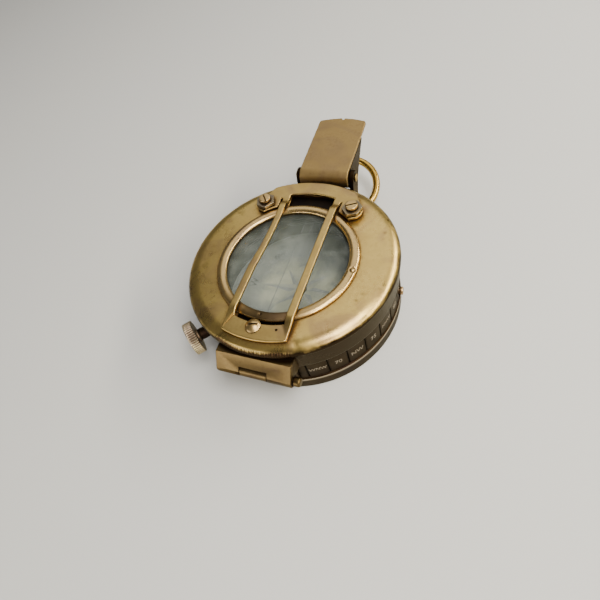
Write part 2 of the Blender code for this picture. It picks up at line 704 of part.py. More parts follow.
def make_prism_box():
    """Two cheeks, a sloping back and a front wall with the eye lens, all under the strip."""
    deep = 16.0
    far = 60.8
    top_near = FOLD_Z + ROLL_R - ARM_T - GAP
    top_far = top_near + (far - FOLD_Y) * arm_slope()
    lug = arc((FOLD_Y, FOLD_Z), top_near - FOLD_Z, 90, 270, 9)
    cheek = lug + [(FRONT_WALL_Y, 20.4), (FRONT_WALL_Y, deep + 0.5), (FRONT_WALL_Y + 0.5, deep)]
    cheek += [(48.4, deep), (far, top_far)]
    housing = plate("prism_box", [cheek], -ARM_HALF_X, ARM_HALF_X, DARK_BRASS, SIDE_PLANE)
    inside = FRONT_WALL_Y + FRONT_WALL_T
    hollow = [(inside, deep + 1.2), (47.9, deep + 1.2), (59.6, 29.5), (inside, 29.5)]
    hollow_half = CHEEK_INNER_X
    cut(housing, plate("prism_pocket", [hollow], -hollow_half, hollow_half, STEEL, SIDE_PLANE))
    low = (-hollow_half, FOLD_Y - 5, deep - 1)
    cut(housing, box("pin_space", low, (hollow_half, FRONT_WALL_Y, 30), STEEL))
    facing = move(0, 0, LENS_Z) @ Matrix.Rotation(-math.pi / 2, 4, "X")
    drill([housing], LENS_R + GAP, FRONT_WALL_Y - 1, inside + 0.5, facing)
    drill([housing], ARM_PIN_R + GAP, -20, 20, sideways(0, FOLD_Y, FOLD_Z))
    low_z, high_z = deep + 1.6, top_near - 0.2
    near = inside + 0.4
    section = [(near, low_z), (near + 0.9, low_z), (near + 10.1, high_z), (near, high_z)]
    prism = plate("prism", [section], GAP - hollow_half, hollow_half - GAP, GLASS, SIDE_PLANE)
    middle = FRONT_WALL_Y + FRONT_WALL_T / 2
    lens_profile = [(0, 0.7), (LENS_R * 0.55, 0.6), (LENS_R, 0.35), (LENS_R, -0.35)]
    lens_profile += [(LENS_R * 0.55, -0.6), (0, -0.7)]
    lens_frame = facing @ move(0, 0, middle)
    lens = turned("eye_lens", lens_profile, GLASS, lens_frame, sides=24, closed=False)
    ring = [(LENS_R + 0.3, -0.9), (LENS_R + 1.4, -0.9), (LENS_R + 1.4, -1.6), (LENS_R + 0.3, -1.6)]
    return [housing, prism, lens, turned("lens_ring", ring, SATIN_BRASS, lens_frame, sides=24)]


def make_bracket():
    """The slide that carries the arm: a plate with two slots, and an ear on each side."""
    low, foot, high = 6.4, 13.0, 19.6
    shoulder = foot - 1.5
    plan = [(-8.6, low), (8.6, low), (8.6, shoulder), (EAR_OUTER_X, foot), (EAR_OUTER_X, high)]
    plan += [(-EAR_OUTER_X, high), (-EAR_OUTER_X, foot), (-8.6, shoulder)]
    upright = Matrix(((1, 0, 0, 0), (0, 0, -1, 0), (0, 1, 0, 0), (0, 0, 0, 1)))
    far = BRACKET_Y + BRACKET_T
    bracket = plate("arm_bracket", [plan], -far, -BRACKET_Y, DARK_BRASS, upright)
    for side, word in ((-1, "left"), (1, "right")):
        outline = [(BRACKET_Y + 0.05, foot + 0.5), (BRACKET_Y + 3.4, foot + 0.5)]
        outline += [(FOLD_Y + 2.8, FOLD_Z - 3)]
        outline += arc((FOLD_Y, FOLD_Z), 2.8, 0, 180, 9) + [(BRACKET_Y + 0.05, FOLD_Z - 2.4)]
        ends = sorted((side * EAR_INNER_X, side * (EAR_OUTER_X + 0.05)))
        join(bracket, plate(f"bracket_ear_{word}", [outline], *ends, STEEL, SIDE_PLANE))
        slot_low = GUIDE_SCREW_Z - FOCUS_TRAVEL - 1.4
        middle = side * GUIDE_SCREW_X
        near = (middle - 1.4, BRACKET_Y - 1, slot_low)
        away = (middle + 1.4, far + 1, GUIDE_SCREW_Z + 1.4)
        cut(bracket, box(f"guide_slot_{word}", near, away, STEEL))
    drill([bracket], ARM_PIN_R + GAP, -20, 20, sideways(0, FOLD_Y, FOLD_Z))
    end = EAR_OUTER_X + 0.05 + GAP
    head = [(0, 0.4), (1.2, 0.35), (1.55, 0), (ARM_PIN_R, 0)]
    pin = [(r, end + z) for r, z in head] + [(r, -end - z) for r, z in reversed(head)]
    frame = sideways(0, FOLD_Y, FOLD_Z)
    return [bracket, turned("arm_pin", pin, SATIN_BRASS, frame, sides=SMALL_ROUND, closed=False)]


def make_guide(case):
    low = (-8.6, WALL_R - 2.2, FLANGE_TOP + 1.0)
    high = (8.6, BRACKET_Y - GAP, WALL_TOP - GAP)
    guide = box("arm_guide", low, high, DARK_BRASS)
    hug(guide, WALL_R + GAP)
    far = BRACKET_Y + BRACKET_T + GAP
    for side, word in ((-1, "left"), (1, "right")):
        place = move(side * GUIDE_SCREW_X, far, GUIDE_SCREW_Z)
        frame = place @ Matrix.Rotation(-math.pi / 2, 4, "X")
        drill([guide, case], 1.3, -far + 34.2, 1, frame)
        slotted_screw(f"guide_screw_{word}", 1.9, 1.0, 1.0, far - 34.6, SATIN_BRASS, frame)


# ---------------------------------------------------------------- thumb ring


def make_thumb_ring():
    lug = box("ring_lug", (-1.9, FLANGE_R - 1, 0.8), (1.9, RING_PIVOT_Y + 2.7, 6.0), DARK_BRASS)
    soften(lug, 0.5)
    hug(lug, FLANGE_R + GAP)
    drill([lug], RING_WIRE_R + 0.4, -4, 4, sideways(0, RING_PIVOT_Y, RING_PIVOT_Z))
    bpy.ops.mesh.primitive_torus_add(
        major_segments=48,
        minor_segments=8,
        major_radius=RING_R * MM,
        minor_radius=RING_WIRE_R * MM,
    )
    made = bpy.context.object
    mesh = made.data
    bpy.data.objects.remove(made, do_unlink=True)
    mesh.shade_smooth()
    tilt = Matrix.Rotation(math.radians(RING_TILT), 4, "X")
    place = move(0, RING_PIVOT_Y, RING_PIVOT_Z) @ tilt @ move(0, RING_R, 0)
    ring = link("thumb_ring", mesh, SATIN_BRASS, place)
    carry("ring_axis", (0, RING_PIVOT_Y, RING_PIVOT_Z), [ring])


# ---------------------------------------------------------------- assembly


def main():
    case = make_case()
    make_base(case)
    make_case_glass()
    make_card()
    make_bezel()
    lid = make_lid_shell()
    lid_leaf = make_lid_leaf()
    lid_pieces = [lid, lid_leaf] + make_window() + make_guard(lid)
    make_hinge_pin([lid_leaf, make_case_leaf()])
    carry("lid_axis", (0, HINGE_Y, HINGE_Z), lid_pieces)
    make_clamp(case)
    make_brake(case)
    arm = [make_arm_plate()] + make_prism_box()
    fold = carry("fold_axis", (0, FOLD_Y, FOLD_Z), arm)
    slide = carry("focus_slide", (0, BRACKET_Y, GUIDE_SCREW_Z), make_bracket())
    fold.parent = slide
    fold.matrix_parent_inverse = move(0, BRACKET_Y, GUIDE_SCREW_Z).inverted()
    make_guide(case)
    make_thumb_ring()


main()
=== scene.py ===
"""Finished surfaces of the pocket compass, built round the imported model.

Most pieces are modelled again with fine rounded edges, and all get a procedural material: worn
brass with patina, steel, glass, printed paper. Sizes are in millimetres. The driving ones come from
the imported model's boxes and joints, and they become metres as each mesh is made.
"""

import json
import math

import bmesh
import bpy
import numpy as np
from mathutils import Matrix, Vector


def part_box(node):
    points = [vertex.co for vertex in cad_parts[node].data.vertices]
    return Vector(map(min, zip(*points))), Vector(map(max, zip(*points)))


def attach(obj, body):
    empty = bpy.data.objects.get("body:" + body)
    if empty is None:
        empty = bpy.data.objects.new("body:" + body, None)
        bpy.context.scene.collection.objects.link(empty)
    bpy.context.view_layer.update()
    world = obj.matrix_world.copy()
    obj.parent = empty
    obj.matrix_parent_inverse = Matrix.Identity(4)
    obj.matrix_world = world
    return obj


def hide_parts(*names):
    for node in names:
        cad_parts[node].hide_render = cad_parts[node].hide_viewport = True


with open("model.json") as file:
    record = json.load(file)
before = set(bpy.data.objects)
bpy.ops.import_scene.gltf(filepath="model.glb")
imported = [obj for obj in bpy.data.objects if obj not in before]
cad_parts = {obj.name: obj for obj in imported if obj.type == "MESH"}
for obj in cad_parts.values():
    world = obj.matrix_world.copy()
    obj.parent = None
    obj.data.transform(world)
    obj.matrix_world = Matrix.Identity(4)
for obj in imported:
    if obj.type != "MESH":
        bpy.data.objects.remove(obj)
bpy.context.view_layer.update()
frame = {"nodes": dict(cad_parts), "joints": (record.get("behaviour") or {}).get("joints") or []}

MM = 0.001
SIDES = 240  # round steps of the large turned pieces
SMALL_SIDES = 48  # round steps of screws and pins
GAP = 0.3  # clearance between neighbouring pieces
INK_T = 0.03  # how far print stands over its surface
SHARP = math.radians(32)  # edges that turn more than this stay sharp


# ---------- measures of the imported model


def low(node):
    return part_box(node)[0] / MM


def high(node):
    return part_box(node)[1] / MM


def middle(node):
    return (low(node) + high(node)) / 2


def joint(name, key):
    return Vector(next(j[key] for j in frame["joints"] if j["name"] == name))


LID_R = high("lid_shell").x
LID_TOP = high("lid_shell").z
LID_BOTTOM = low("lid_shell").z
LID_STEP_Z = LID_TOP - 3.3
LID_SKIRT_R = LID_R - 0.7
LID_UNDER = LID_TOP - 1.5
WALL_R = LID_R - 1.3
WALL_TOP = high("case_body").z
FLANGE_R = high("case_body").x
FLANGE_TOP = 5.6
WINDOW_Y = middle("window_bead").y
BEAD_OUT = high("window_bead").x
BEAD_TOP = high("window_bead").z
BEAD_HALF = 1.75
WINDOW_R = BEAD_OUT - 0.7
SLOT_HALF_X = 9.0
SLOT_FRONT_Y = -28.3
SLOT_BACK_Y = 28.6
GUARD_Z = low("guard_frame").z
GUARD_T = 1.2
GUARD_LIFT = 1.3
GUARD_R = -low("guard_frame").y
GUARD_HALF_X = 11.3
BAR_INNER_X = 8.7
GUARD_ARCH_R = 28.4
EAR_SCREW = middle("guard_nut_right").xy
FRONT_SCREW = middle("guard_screw_front").xy
GUARD_HEAD_H = 1.1
HINGE = joint("lid_hinge", "pos_m") / MM
HINGE_R = 2.3
HINGE_HALF_X = high("lid_hinge_leaf").x
KNUCKLE_HALF_X = 4.7
BEZEL_R = high("bezel_ring").x
BEZEL_TOP = high("bezel_ring").z
CARD_R = high("compass_card").x
CARD_TOP = high("compass_card").z
CLAMP_HEAD_R = 6.1
CLAMP_HEAD_AT = 41.2
CLAMP_HEAD_T = 3.2
FOLD = joint("arm_fold", "pos_m") / MM
ARM_HALF_X = high("arm_strip").x
ARM_TIP = (high("arm_strip").y, 30.8)
ARM_T = 1.2
ROLL_R = 4.2
RING_R = 15.18
RING_WIRE_R = 1.5
RING_PIVOT = joint("ring_swing", "pos_m") / MM
RING_TILT = 14.0

# An upright frame whose Z runs along world X, for outlines drawn as (y, z).
SIDE_PLANE = Matrix(((0, 0, 1, 0), (1, 0, 0, 0), (0, 1, 0, 0), (0, 0, 0, 1)))


# ---------- node graphs


class Graph:
    """A short way to write a material's node tree."""

    def __init__(self, name):
        self.material = bpy.data.materials.new(name)
        self.material.use_nodes = True
        self.tree = self.material.node_tree
        self.shader = self.tree.nodes["Principled BSDF"]

    def feed(self, socket, value):
        if isinstance(value, bpy.types.NodeSocket):
            self.tree.links.new(value, socket)
        else:
            socket.default_value = value

    def feed_named(self, node, sockets):
        """Feeds sockets by name, with an underscore for each space in the name."""
        for key, value in sockets.items():
            self.feed(node.inputs[key.replace("_", " ")], value)

    def node(self, kind, **sockets):
        node = self.tree.nodes.new(kind)
        self.feed_named(node, sockets)
        return node

    def surface(self, **sockets):
        """Feeds the shader and gives the finished material."""
        self.feed_named(self.shader, sockets)
        return self.material

    def place(self):
        return self.node("ShaderNodeTexCoord").outputs["Object"]

    def stretch(self, scale, turn=(0, 0, 0)):
        node = self.node("ShaderNodeMapping", Vector=self.place(), Scale=scale, Rotation=turn)
        return node.outputs[0]

    def noise(self, scale, detail=3.0, roughness=0.55, vector=None, warp=0.0):
        node = self.node("ShaderNodeTexNoise", Vector=vector or self.place(), Scale=scale)
        self.feed_named(node, {"Detail": detail, "Roughness": roughness, "Distortion": warp})
        return node.outputs["Fac"]

    def attribute(self, name):
        node = self.node("ShaderNodeAttribute")
        node.attribute_name = name
        return node.outputs["Fac"]

    def span(self, value, start, end, low_value=0.0, high_value=1.0):
        """Maps start..end to low_value..high_value, held at both ends."""
        node = self.node("ShaderNodeMapRange", Value=value, From_Min=start, From_Max=end)
        self.feed_named(node, {"To Min": low_value, "To Max": high_value})
        return node.outputs[0]

    def math(self, operation, first, second=0.0):
        node = self.node("ShaderNodeMath")
        node.operation = operation
        self.feed(node.inputs[0], first)
        self.feed(node.inputs[1], second)
        return node.outputs[0]

    def mix(self, factor, first, second):
        """Mixes two colours, each a socket or a tuple of three."""
        node = self.node("ShaderNodeMix")
        node.data_type = "RGBA"
        self.feed(node.inputs[0], factor)
        for socket, colour in ((node.inputs[6], first), (node.inputs[7], second)):
            self.feed(socket, (*colour, 1.0) if isinstance(colour, tuple) else colour)
        return node.outputs[2]

    def crevice(self, distance):
        """1 in the open, towards 0 where other surfaces stand close."""
        node = self.node("ShaderNodeAmbientOcclusion", Distance=distance * MM)
        node.samples = 8
        return node.outputs["AO"]

    def bump(self, height, strength, distance, under=None):
        node = self.node("ShaderNodeBump", Height=height, Strength=strength, Distance=distance * MM)
        if under:
            self.feed(node.inputs["Normal"], under)
        return node.outputs[0]


def scratches(graph, amount):
    """Fine straight scratches in three directions, as a height from 0 to 1."""
    total = None
    for turn, tip in ((0.5, 0.0), (-0.7, 0.4), (1.7, 0.9)):
        vector = graph.stretch((3600, 90, 120), (tip, 0.1 * tip, turn))
        line = graph.noise(3.2, 2.0, 0.5, vector)
        mark = graph.span(line, 0.60, 0.74)
        total = mark if total is None else graph.math("MAXIMUM", total, mark)
    return graph.math("MULTIPLY", total, amount)


def brass(name, bright, stain, dirt_and_shade_colour, shine, patina, reach=1.6, fall=None, turned=False, grain=None):
    """Worn brass, stained in patches, with painted shade darkening its corners.

    A mesh's "cut" is above 0 where it is soiled and where painted shade darkens it, and below 0
    where a painted highlight lightens it. reach is how far the painted shade spreads from a corner,
    in millimetres. fall gives two heights between which the brass darkens downwards, and the dark
    colour. turned adds lathe marks, and grain is the scale of brushed ones.
    """
    graph = Graph(name)
    patches = graph.noise(95, 5.0, 0.6, warp=0.6)
    cloud = graph.noise(28, 3.0, 0.5)
    specks = graph.noise(900, 4.0, 0.7)
    stained = graph.math("MULTIPLY", graph.span(patches, 0.42, 0.72), patina)
    stained = graph.math("ADD", stained, graph.span(cloud, 0.35, 0.8, 0.0, 0.35 * patina))
    # Painted shade: the colour darkens where other surfaces stand close.
    near = graph.math("ADD", graph.crevice(reach), graph.span(specks, 0.3, 0.7, -0.10, 0.10))
    corner = graph.math("SUBTRACT", 1.0, graph.span(near, 0.30, 0.80))
    ragged = graph.math("ADD", near, graph.span(patches, 0.3, 0.7, -0.1, 0.1))
    shade_fringe = graph.math("SUBTRACT", 1.0, graph.span(ragged, 0.6, 1.0))
    cut = graph.attribute("cut")
    colour = graph.mix(stained, bright, stain)
    colour = graph.mix(graph.span(specks, 0.62, 0.78, 0.0, 0.45 * patina), colour, dirt_and_shade_colour)
    blush = graph.noise(62, 3.0, 0.5, warp=1.2)
    mauve = (0.72 * stain[0], 0.68 * stain[1], 1.25 * stain[2])
    colour = graph.mix(graph.span(blush, 0.50, 0.68, 0.0, 1.1 * patina), colour, mauve)
    # A red-brown painted shade fringes the darkened corners.
    reddish_shade = (0.42 * stain[0], 0.27 * stain[1], 0.25 * stain[2])
    colour = graph.mix(graph.math("MULTIPLY", shade_fringe, 0.7), colour, reddish_shade)
    # fall darkens a piece downwards; the lid and the hinge leaf use it as painted dark reflection and shade.
    if fall:
        start, end, below = fall
        height = graph.node("ShaderNodeSeparateXYZ", Vector=graph.place()).outputs[2]
        wander = graph.math("ADD", height, graph.span(patches, 0.3, 0.7, -0.8 * MM, 0.8 * MM))
        colour = graph.mix(graph.span(wander, end * MM, start * MM), colour, below)
    # Painted shade in the corners, and the soiling and painted shade of the mesh's cut, darken the brass.
    dirt_and_shade_mask = graph.math("MAXIMUM", corner, cut)
    colour = graph.mix(dirt_and_shade_mask, colour, dirt_and_shade_colour)
    # Where the cut is below 0, a painted highlight lightens the brass.
    colour = graph.mix(graph.span(cut, 0.0, -1.0), colour, PAINTED_HIGHLIGHT)
    marks = scratches(graph, 0.8)
    rough = graph.span(patches, 0.3, 0.75, shine, shine + 0.14)
    rough = graph.math("ADD", rough, graph.math("MULTIPLY", marks, 0.10))
    rough = graph.math("ADD", rough, graph.math("MULTIPLY", dirt_and_shade_mask, 0.3))
    normal = graph.bump(marks, 0.12, 0.02)
    normal = graph.bump(specks, 0.08, 0.03, normal)
    normal = graph.bump(patches, 0.08, 0.4, normal)
    if turned:
        normal = lathe_marks(graph, normal)
    if grain:
        lines = graph.noise(1.0, 3.0, 0.6, graph.stretch(grain))
        normal = graph.bump(lines, 0.22, 0.02, normal)
    return graph.surface(
        Base_Color=colour, Metallic=1.0, Specular_Tint=GLOSS_TINT, Roughness=rough, Normal=normal
    )


def lathe_marks(graph, under):
    """Bumps in fine circles about the compass's axis."""
    split = graph.node("ShaderNodeSeparateXYZ", Vector=graph.place())
    across = graph.math("POWER", split.outputs[0], 2.0)
    along = graph.math("POWER", split.outputs[1], 2.0)
    radius = graph.math("SQRT", graph.math("ADD", across, along))
    join = graph.node("ShaderNodeCombineXYZ", X=radius, Z=split.outputs[2])
    rings = graph.noise(2600, 2.0, 0.6, join.outputs[0])
    return graph.bump(rings, 0.12, 0.02, under)


def steel():
    """Brushed steel, with painted shade in its corners."""
    graph = Graph("blued_steel")
    colour, shine = (0.50, 0.50, 0.51), 0.28
    cloud = graph.noise(300, 4.0, 0.6)
    lines = graph.noise(1.0, 3.0, 0.6, graph.stretch((300, 9000, 9000)))
    dark = tuple(0.45 * c for c in colour)
    # Painted shade in the corners.
    near = graph.span(graph.crevice(1.2), 0.3, 0.9)
    tint = graph.mix(graph.span(cloud, 0.45, 0.75, 0.0, 0.6), colour, dark)
    return graph.surface(
        Base_Color=graph.mix(near, dark, tint),
        Metallic=1.0,
        Roughness=graph.span(cloud, 0.3, 0.7, shine, shine + 0.15),
        Normal=graph.bump(lines, 0.2, 0.02),
    )


def glass(name, tint, clear, haze):
    """Thin glass. Its Alpha grows where it is seen at a slant and where it is dusty."""
    graph = Graph(name)
    dust = graph.noise(160, 5.0, 0.65, warp=0.8)
    smear = graph.noise(1.0, 3.0, 0.5, graph.stretch((60, 320, 60), (0, 0, 0.7)))
    dust_film = graph.span(dust, 0.45, 0.8, 0.0, haze)
    film = graph.math("ADD", dust_film, graph.span(smear, 0.5, 0.8, 0.0, haze))
    facing = graph.node("ShaderNodeLayerWeight", Blend=0.5).outputs["Facing"]
    slant = graph.math("POWER", facing, 2.5)
    alpha = graph.math("ADD", graph.math("ADD", film, clear), graph.math("MULTIPLY", slant, 0.9))
    return graph.surface(
        Alpha=graph.math("MINIMUM", alpha, 1.0),
        Base_Color=graph.mix(graph.span(dust, 0.3, 0.8), tint, (0.62, 0.66, 0.60)),
        Roughness=graph.span(film, 0.0, 0.3, 0.04, 0.22),
        IOR=1.5,
        Specular_IOR_Level=0.9,
    )


def paper(name, light, aged, stain_and_shade):
    """Printed card stock, yellowed in clouds, with a faint fibre and painted shade towards its edge."""
    graph = Graph(name)
    cloud = graph.noise(70, 4.0, 0.6)
    fibre = graph.noise(1.0, 4.0, 0.7, graph.stretch((3500, 900, 900), (0, 0, 0.4)))
    tint = graph.mix(graph.span(cloud, 0.35, 0.75), light, aged)
    shade = graph.mix(graph.span(fibre, 0.4, 0.8, 0.0, 0.18), tint, tuple(0.7 * c for c in aged))
    blot = graph.noise(160, 3.0, 0.5, warp=0.8)
    shade = graph.mix(graph.span(blot, 0.52, 0.70, 0.0, 0.55), shade, stain_and_shade)
    # Painted shade: the card darkens towards its edge.
    distance = graph.node("ShaderNodeVectorMath", Vector=graph.place())
    distance.operation = "LENGTH"
    wander = graph.span(cloud, 0.3, 0.7, -2.5 * MM, 2.5 * MM)
    reach = graph.math("ADD", distance.outputs["Value"], wander)
    shade = graph.mix(graph.span(reach, 13.0 * MM, 19.0 * MM, 0.0, 0.8), shade, stain_and_shade)
    return graph.surface(
        Base_Color=shade,
        Roughness=graph.span(fibre, 0.3, 0.7, 0.55, 0.75),
        Normal=graph.bump(fibre, 0.2, 0.02),
    )


def ink(name, colour, fade=0.35):
    """Print or filling, paler in specks where it has worn."""
    graph = Graph(name)
    wear = graph.noise(700, 4.0, 0.7)
    pale = tuple(c + (0.6 - c) * 0.45 for c in colour)
    tint = graph.mix(graph.span(wear, 0.45, 0.75, 0.0, fade), colour, pale)
    return graph.surface(Base_Color=tint, Roughness=graph.span(wear, 0.3, 0.7, 0.45, 0.7))


# Each brass is given by its bright and stained colours, a dark colour for its soiling and painted shade, its
# roughness and how stained it is.
DARK = (0.030, 0.019, 0.011)
# Colour of a painted highlight, where a mesh's cut is below 0.
PAINTED_HIGHLIGHT = (0.60, 0.50, 0.36)
GLOSS_TINT = (0.86, 0.83, 0.73, 1.0)
# Lid brass: a painted dark reflection darkens its side downwards, and its painted corner shade reaches far.
LID_BRASS = brass(
    "worn_olive_brass", (0.60, 0.425, 0.13), (0.42, 0.27, 0.085), (0.08, 0.042, 0.018), 0.24, 0.5,
    reach=3.5, fall=(LID_TOP - 2.0, LID_TOP - 0.8, (0.026, 0.016, 0.008)), turned=True,
)
SATIN_BRASS = brass("satin_brass", (0.45, 0.315, 0.105), (0.34, 0.22, 0.075), DARK, 0.28, 0.5)
STRIP_BRASS = brass(
    "flat_satin_brass", (0.33, 0.222, 0.088), (0.26, 0.175, 0.068), (0.035, 0.035, 0.02), 0.42, 0.35,
    grain=(9000, 260, 260),
)
BEAD_BRASS = brass("bright_brass", (0.56, 0.385, 0.155), (0.40, 0.265, 0.105), DARK, 0.20, 0.45)
RING_BRASS = brass("ring_brass", (0.58, 0.37, 0.075), (0.42, 0.25, 0.05), DARK, 0.18, 0.4)
CLAMP_BRASS = brass("clamp_brass", (0.56, 0.48, 0.29), (0.40, 0.32, 0.18), DARK, 0.30, 0.5)
SCREW_BRASS = brass("screw_brass", (0.52, 0.36, 0.15), (0.36, 0.23, 0.09), DARK, 0.28, 0.5)
NUT_BRASS = brass("nut_brass", (0.26, 0.22, 0.14), (0.17, 0.135, 0.08), DARK, 0.28, 0.6)
# Case brass is nearly black, a painted dark reflection.
CASE_BRASS = brass(
    "dark_case_brass", (0.034, 0.020, 0.009), (0.020, 0.012, 0.006), (0.004, 0.003, 0.002), 0.38, 0.8,
    turned=True,
)
# Brown brass is nearly black too, a painted dark reflection and shade on the pieces that use it.
BROWN_BRASS = brass(
    "brown_brass", (0.036, 0.021, 0.009), (0.022, 0.013, 0.006), (0.006, 0.004, 0.002), 0.36, 0.7
)
# Leaf brass: painted shade darkens it below the hinge.
LEAF_BRASS = brass(
    "leaf_brass", (0.105, 0.070, 0.027), (0.075, 0.048, 0.018), DARK, 0.32, 0.5,
    fall=(HINGE.z - 3.2, HINGE.z - 2.2, (0.05, 0.031, 0.016)),
)
# Near black: painted shade on the floor and walls of the lid's slot.
SLOT_SHADE = brass(
    "slot_painted_shade", (0.020, 0.014, 0.010), (0.012, 0.009, 0.007), (0.004, 0.003, 0.002), 0.5, 0.6
)
STEEL = steel()
WINDOW_GLASS = glass("window_glass_dusty", (0.30, 0.35, 0.30), 0.01, 0.045)
CLEAR_GLASS = glass("clear_glass", (0.34, 0.39, 0.34), 0.0, 0.012)
# The card's third colour is for its stains and its painted shade.
PAPER = paper("cream_card", (0.38, 0.385, 0.265), (0.25, 0.265, 0.19), (0.10, 0.115, 0.125))
BLACK_INK = ink("black_ink", (0.02, 0.02, 0.025))
GREY_INK = ink("faded_blue_ink", (0.19, 0.20, 0.18), 0.6)
OLIVE_INK = ink("faded_olive_ink", (0.27, 0.28, 0.21), 0.6)
DULL_FILLING = ink("dull_filling", (0.16, 0.125, 0.08), 0.25)


# ---------- making shapes


def move(x, y, z):
    return Matrix.Translation(Vector((x, y, z)) * MM)


def spin(degrees, axis="Z"):
    return Matrix.Rotation(math.radians(degrees), 4, axis)


def sideways(x, y, z):
    """A frame whose Z runs along world X."""
    return move(x, y, z) @ spin(90, "Y")


def outward(axis, z):
    """A frame whose Z runs outwards along a horizontal axis, and whose Y is up."""
    return move(0, 0, z) @ Matrix.Rotation(math.atan2(axis.y, axis.x), 4, "Z") @ SIDE_PLANE


CLAMP_PLACE = outward(joint("clamp_turn", "axis"), (joint("clamp_turn", "pos_m") / MM).z)
BRAKE_PLACE = outward(-joint("brake_press", "axis"), middle("brake_button").z)


def full_turn(steps):
    """Even angles round a circle."""
    return np.arange(steps) * 2 * math.pi / steps


def between(first, second, share):
    """The point a share of the way from the first point to the second."""
    return tuple(a + (b - a) * share for a, b in zip(first, second))


def arc(centre, radius, start, end, count):
    """Points of an arc, both ends included, at angles in degrees."""
    turns = [math.radians(start + (end - start) * i / (count - 1)) for i in range(count)]
    return [(centre[0] + radius * math.cos(t), centre[1] + radius * math.sin(t)) for t in turns]


def rounded(corners, step=2.0):
    """A closed outline. Each corner is (x, y, radius), and long sides are divided into steps."""
    points = []
    for i, (x, y, radius) in enumerate(corners):
        here = Vector((x, y))
        back = Vector(corners[i - 1][:2]) - here
        ahead = Vector(corners[(i + 1) % len(corners)][:2]) - here
        if radius:
            reach = radius / math.tan(back.angle(ahead) / 2)
            reach = min(reach, 0.48 * back.length, 0.48 * ahead.length)
            start = here + back.normalized() * reach
            end = here + ahead.normalized() * reach
            bend = np.linspace(0, 1, 6)
            curve = [start * (1 - t) ** 2 + here * 2 * t * (1 - t) + end * t * t for t in bend]
        else:
            curve = [here]
        points += [tuple(p) for p in curve]
    dense = []
    for first, second in zip(points, points[1:] + points[:1]):
        count = max(1, math.ceil(math.dist(first, second) / step))
        dense += [between(first, second, i / count) for i in range(count)]
    return dense


def add_object(name, data):
    obj = bpy.data.objects.new(name, data)
    bpy.context.scene.collection.objects.link(obj)
    return obj


def solid(name, bm, material, matrix=Matrix()):
    """Makes the object of a closed bmesh, with its faces outwards and its shallow edges smooth."""
    bmesh.ops.remove_doubles(bm, verts=bm.verts, dist=0.000002)
    bmesh.ops.recalc_face_normals(bm, faces=bm.faces)
    bm.transform(matrix)
    mesh = bpy.data.meshes.new(name)
    bm.to_mesh(mesh)
    bm.free()
    mesh.shade_smooth()
    mesh.set_sharp_from_angle(angle=SHARP)
    mesh.materials.append(material)
    return add_object(name, mesh)


def lathe(name, profile, material, matrix=Matrix(), sides=SIDES, relief=None):
    """Turns a closed (radius, z) outline about Z.

    sides is a number of even steps, or the angles themselves. relief(radius, z, angle) gives two
    arrays: how far each point moves outwards along its own normal, and its cut for brass().
    """
    angles = full_turn(sides) if isinstance(sides, int) else sides
    outline = np.array(profile, float)
    ahead = np.roll(outline, -1, 0) - np.roll(outline, 1, 0)
    normals = np.stack([ahead[:, 1], -ahead[:, 0]], 1)
    normals /= np.linalg.norm(normals, axis=1)[:, None] + 1e-12
    flat_x, flat_y = outline.T
    if np.sum(flat_x * np.roll(flat_y, -1) - np.roll(flat_x, -1) * flat_y) < 0:
        normals = -normals
    radius, turn = np.meshgrid(outline[:, 0], angles)
    height = np.broadcast_to(outline[:, 1], radius.shape)
    cut = np.zeros(radius.shape)
    if relief:
        shift, cut = relief(radius, height, turn)
        radius = radius + shift * normals[:, 0]
        height = height + shift * normals[:, 1]
    bm = bmesh.new()
    layer = bm.verts.layers.float.new("cut")
    grid = []
    for i, row in enumerate(zip(radius * np.cos(turn), radius * np.sin(turn), height)):
        grid.append([bm.verts.new((x * MM, y * MM, z * MM)) for x, y, z in zip(*row)])
        for vert, amount in zip(grid[-1], cut[i]):
            vert[layer] = float(amount)
    for i, row in enumerate(grid):
        after = grid[(i + 1) % len(grid)]
        for j in range(len(row)):
            k = (j + 1) % len(row)
            if outline[j, 0] < 1e-6 and outline[k, 0] < 1e-6:
                continue
            bm.faces.new((row[j], after[j], after[k], row[k]))
    bmesh.ops.dissolve_degenerate(bm, edges=bm.edges, dist=0.000001)
    return solid(name, bm, material, matrix)


def sheet(name, outlines, bottom, top, edge, material, matrix=Matrix()):
    """A plate with rounded edges, from closed outlines; an outline inside another is a hole."""
    curve = bpy.data.curves.new(name, "CURVE")
    curve.dimensions = "2D"
    curve.fill_mode = "BOTH"
    curve.extrude = ((top - bottom) / 2 - edge) * MM
    curve.bevel_depth = edge * MM
    curve.offset = -edge * MM
    curve.bevel_resolution = 2
    for outline in outlines:
        spline = curve.splines.new("POLY")
        spline.points.add(len(outline) - 1)
        for point, (x, y) in zip(spline.points, outline):
            point.co = (x * MM, y * MM, 0, 1)
        spline.use_cyclic_u = True
    mesh = curve_mesh(curve)
    bm = bmesh.new()
    bm.from_mesh(mesh)
    bpy.data.meshes.remove(mesh)
    bmesh.ops.translate(bm, vec=(0, 0, (bottom + top) / 2 * MM), verts=bm.verts)
    return solid(name, bm, material, matrix)


def curve_mesh(curve):
    """The mesh that a curve or a text makes."""
    draft = add_object("draft", curve)
    mesh = final_mesh(draft)
    bpy.data.objects.remove(draft)
    return mesh


def final_mesh(obj):
    """The mesh of an object with its modifiers applied."""
    graph = bpy.context.evaluated_depsgraph_get()
    return bpy.data.meshes.new_from_object(obj.evaluated_get(graph))


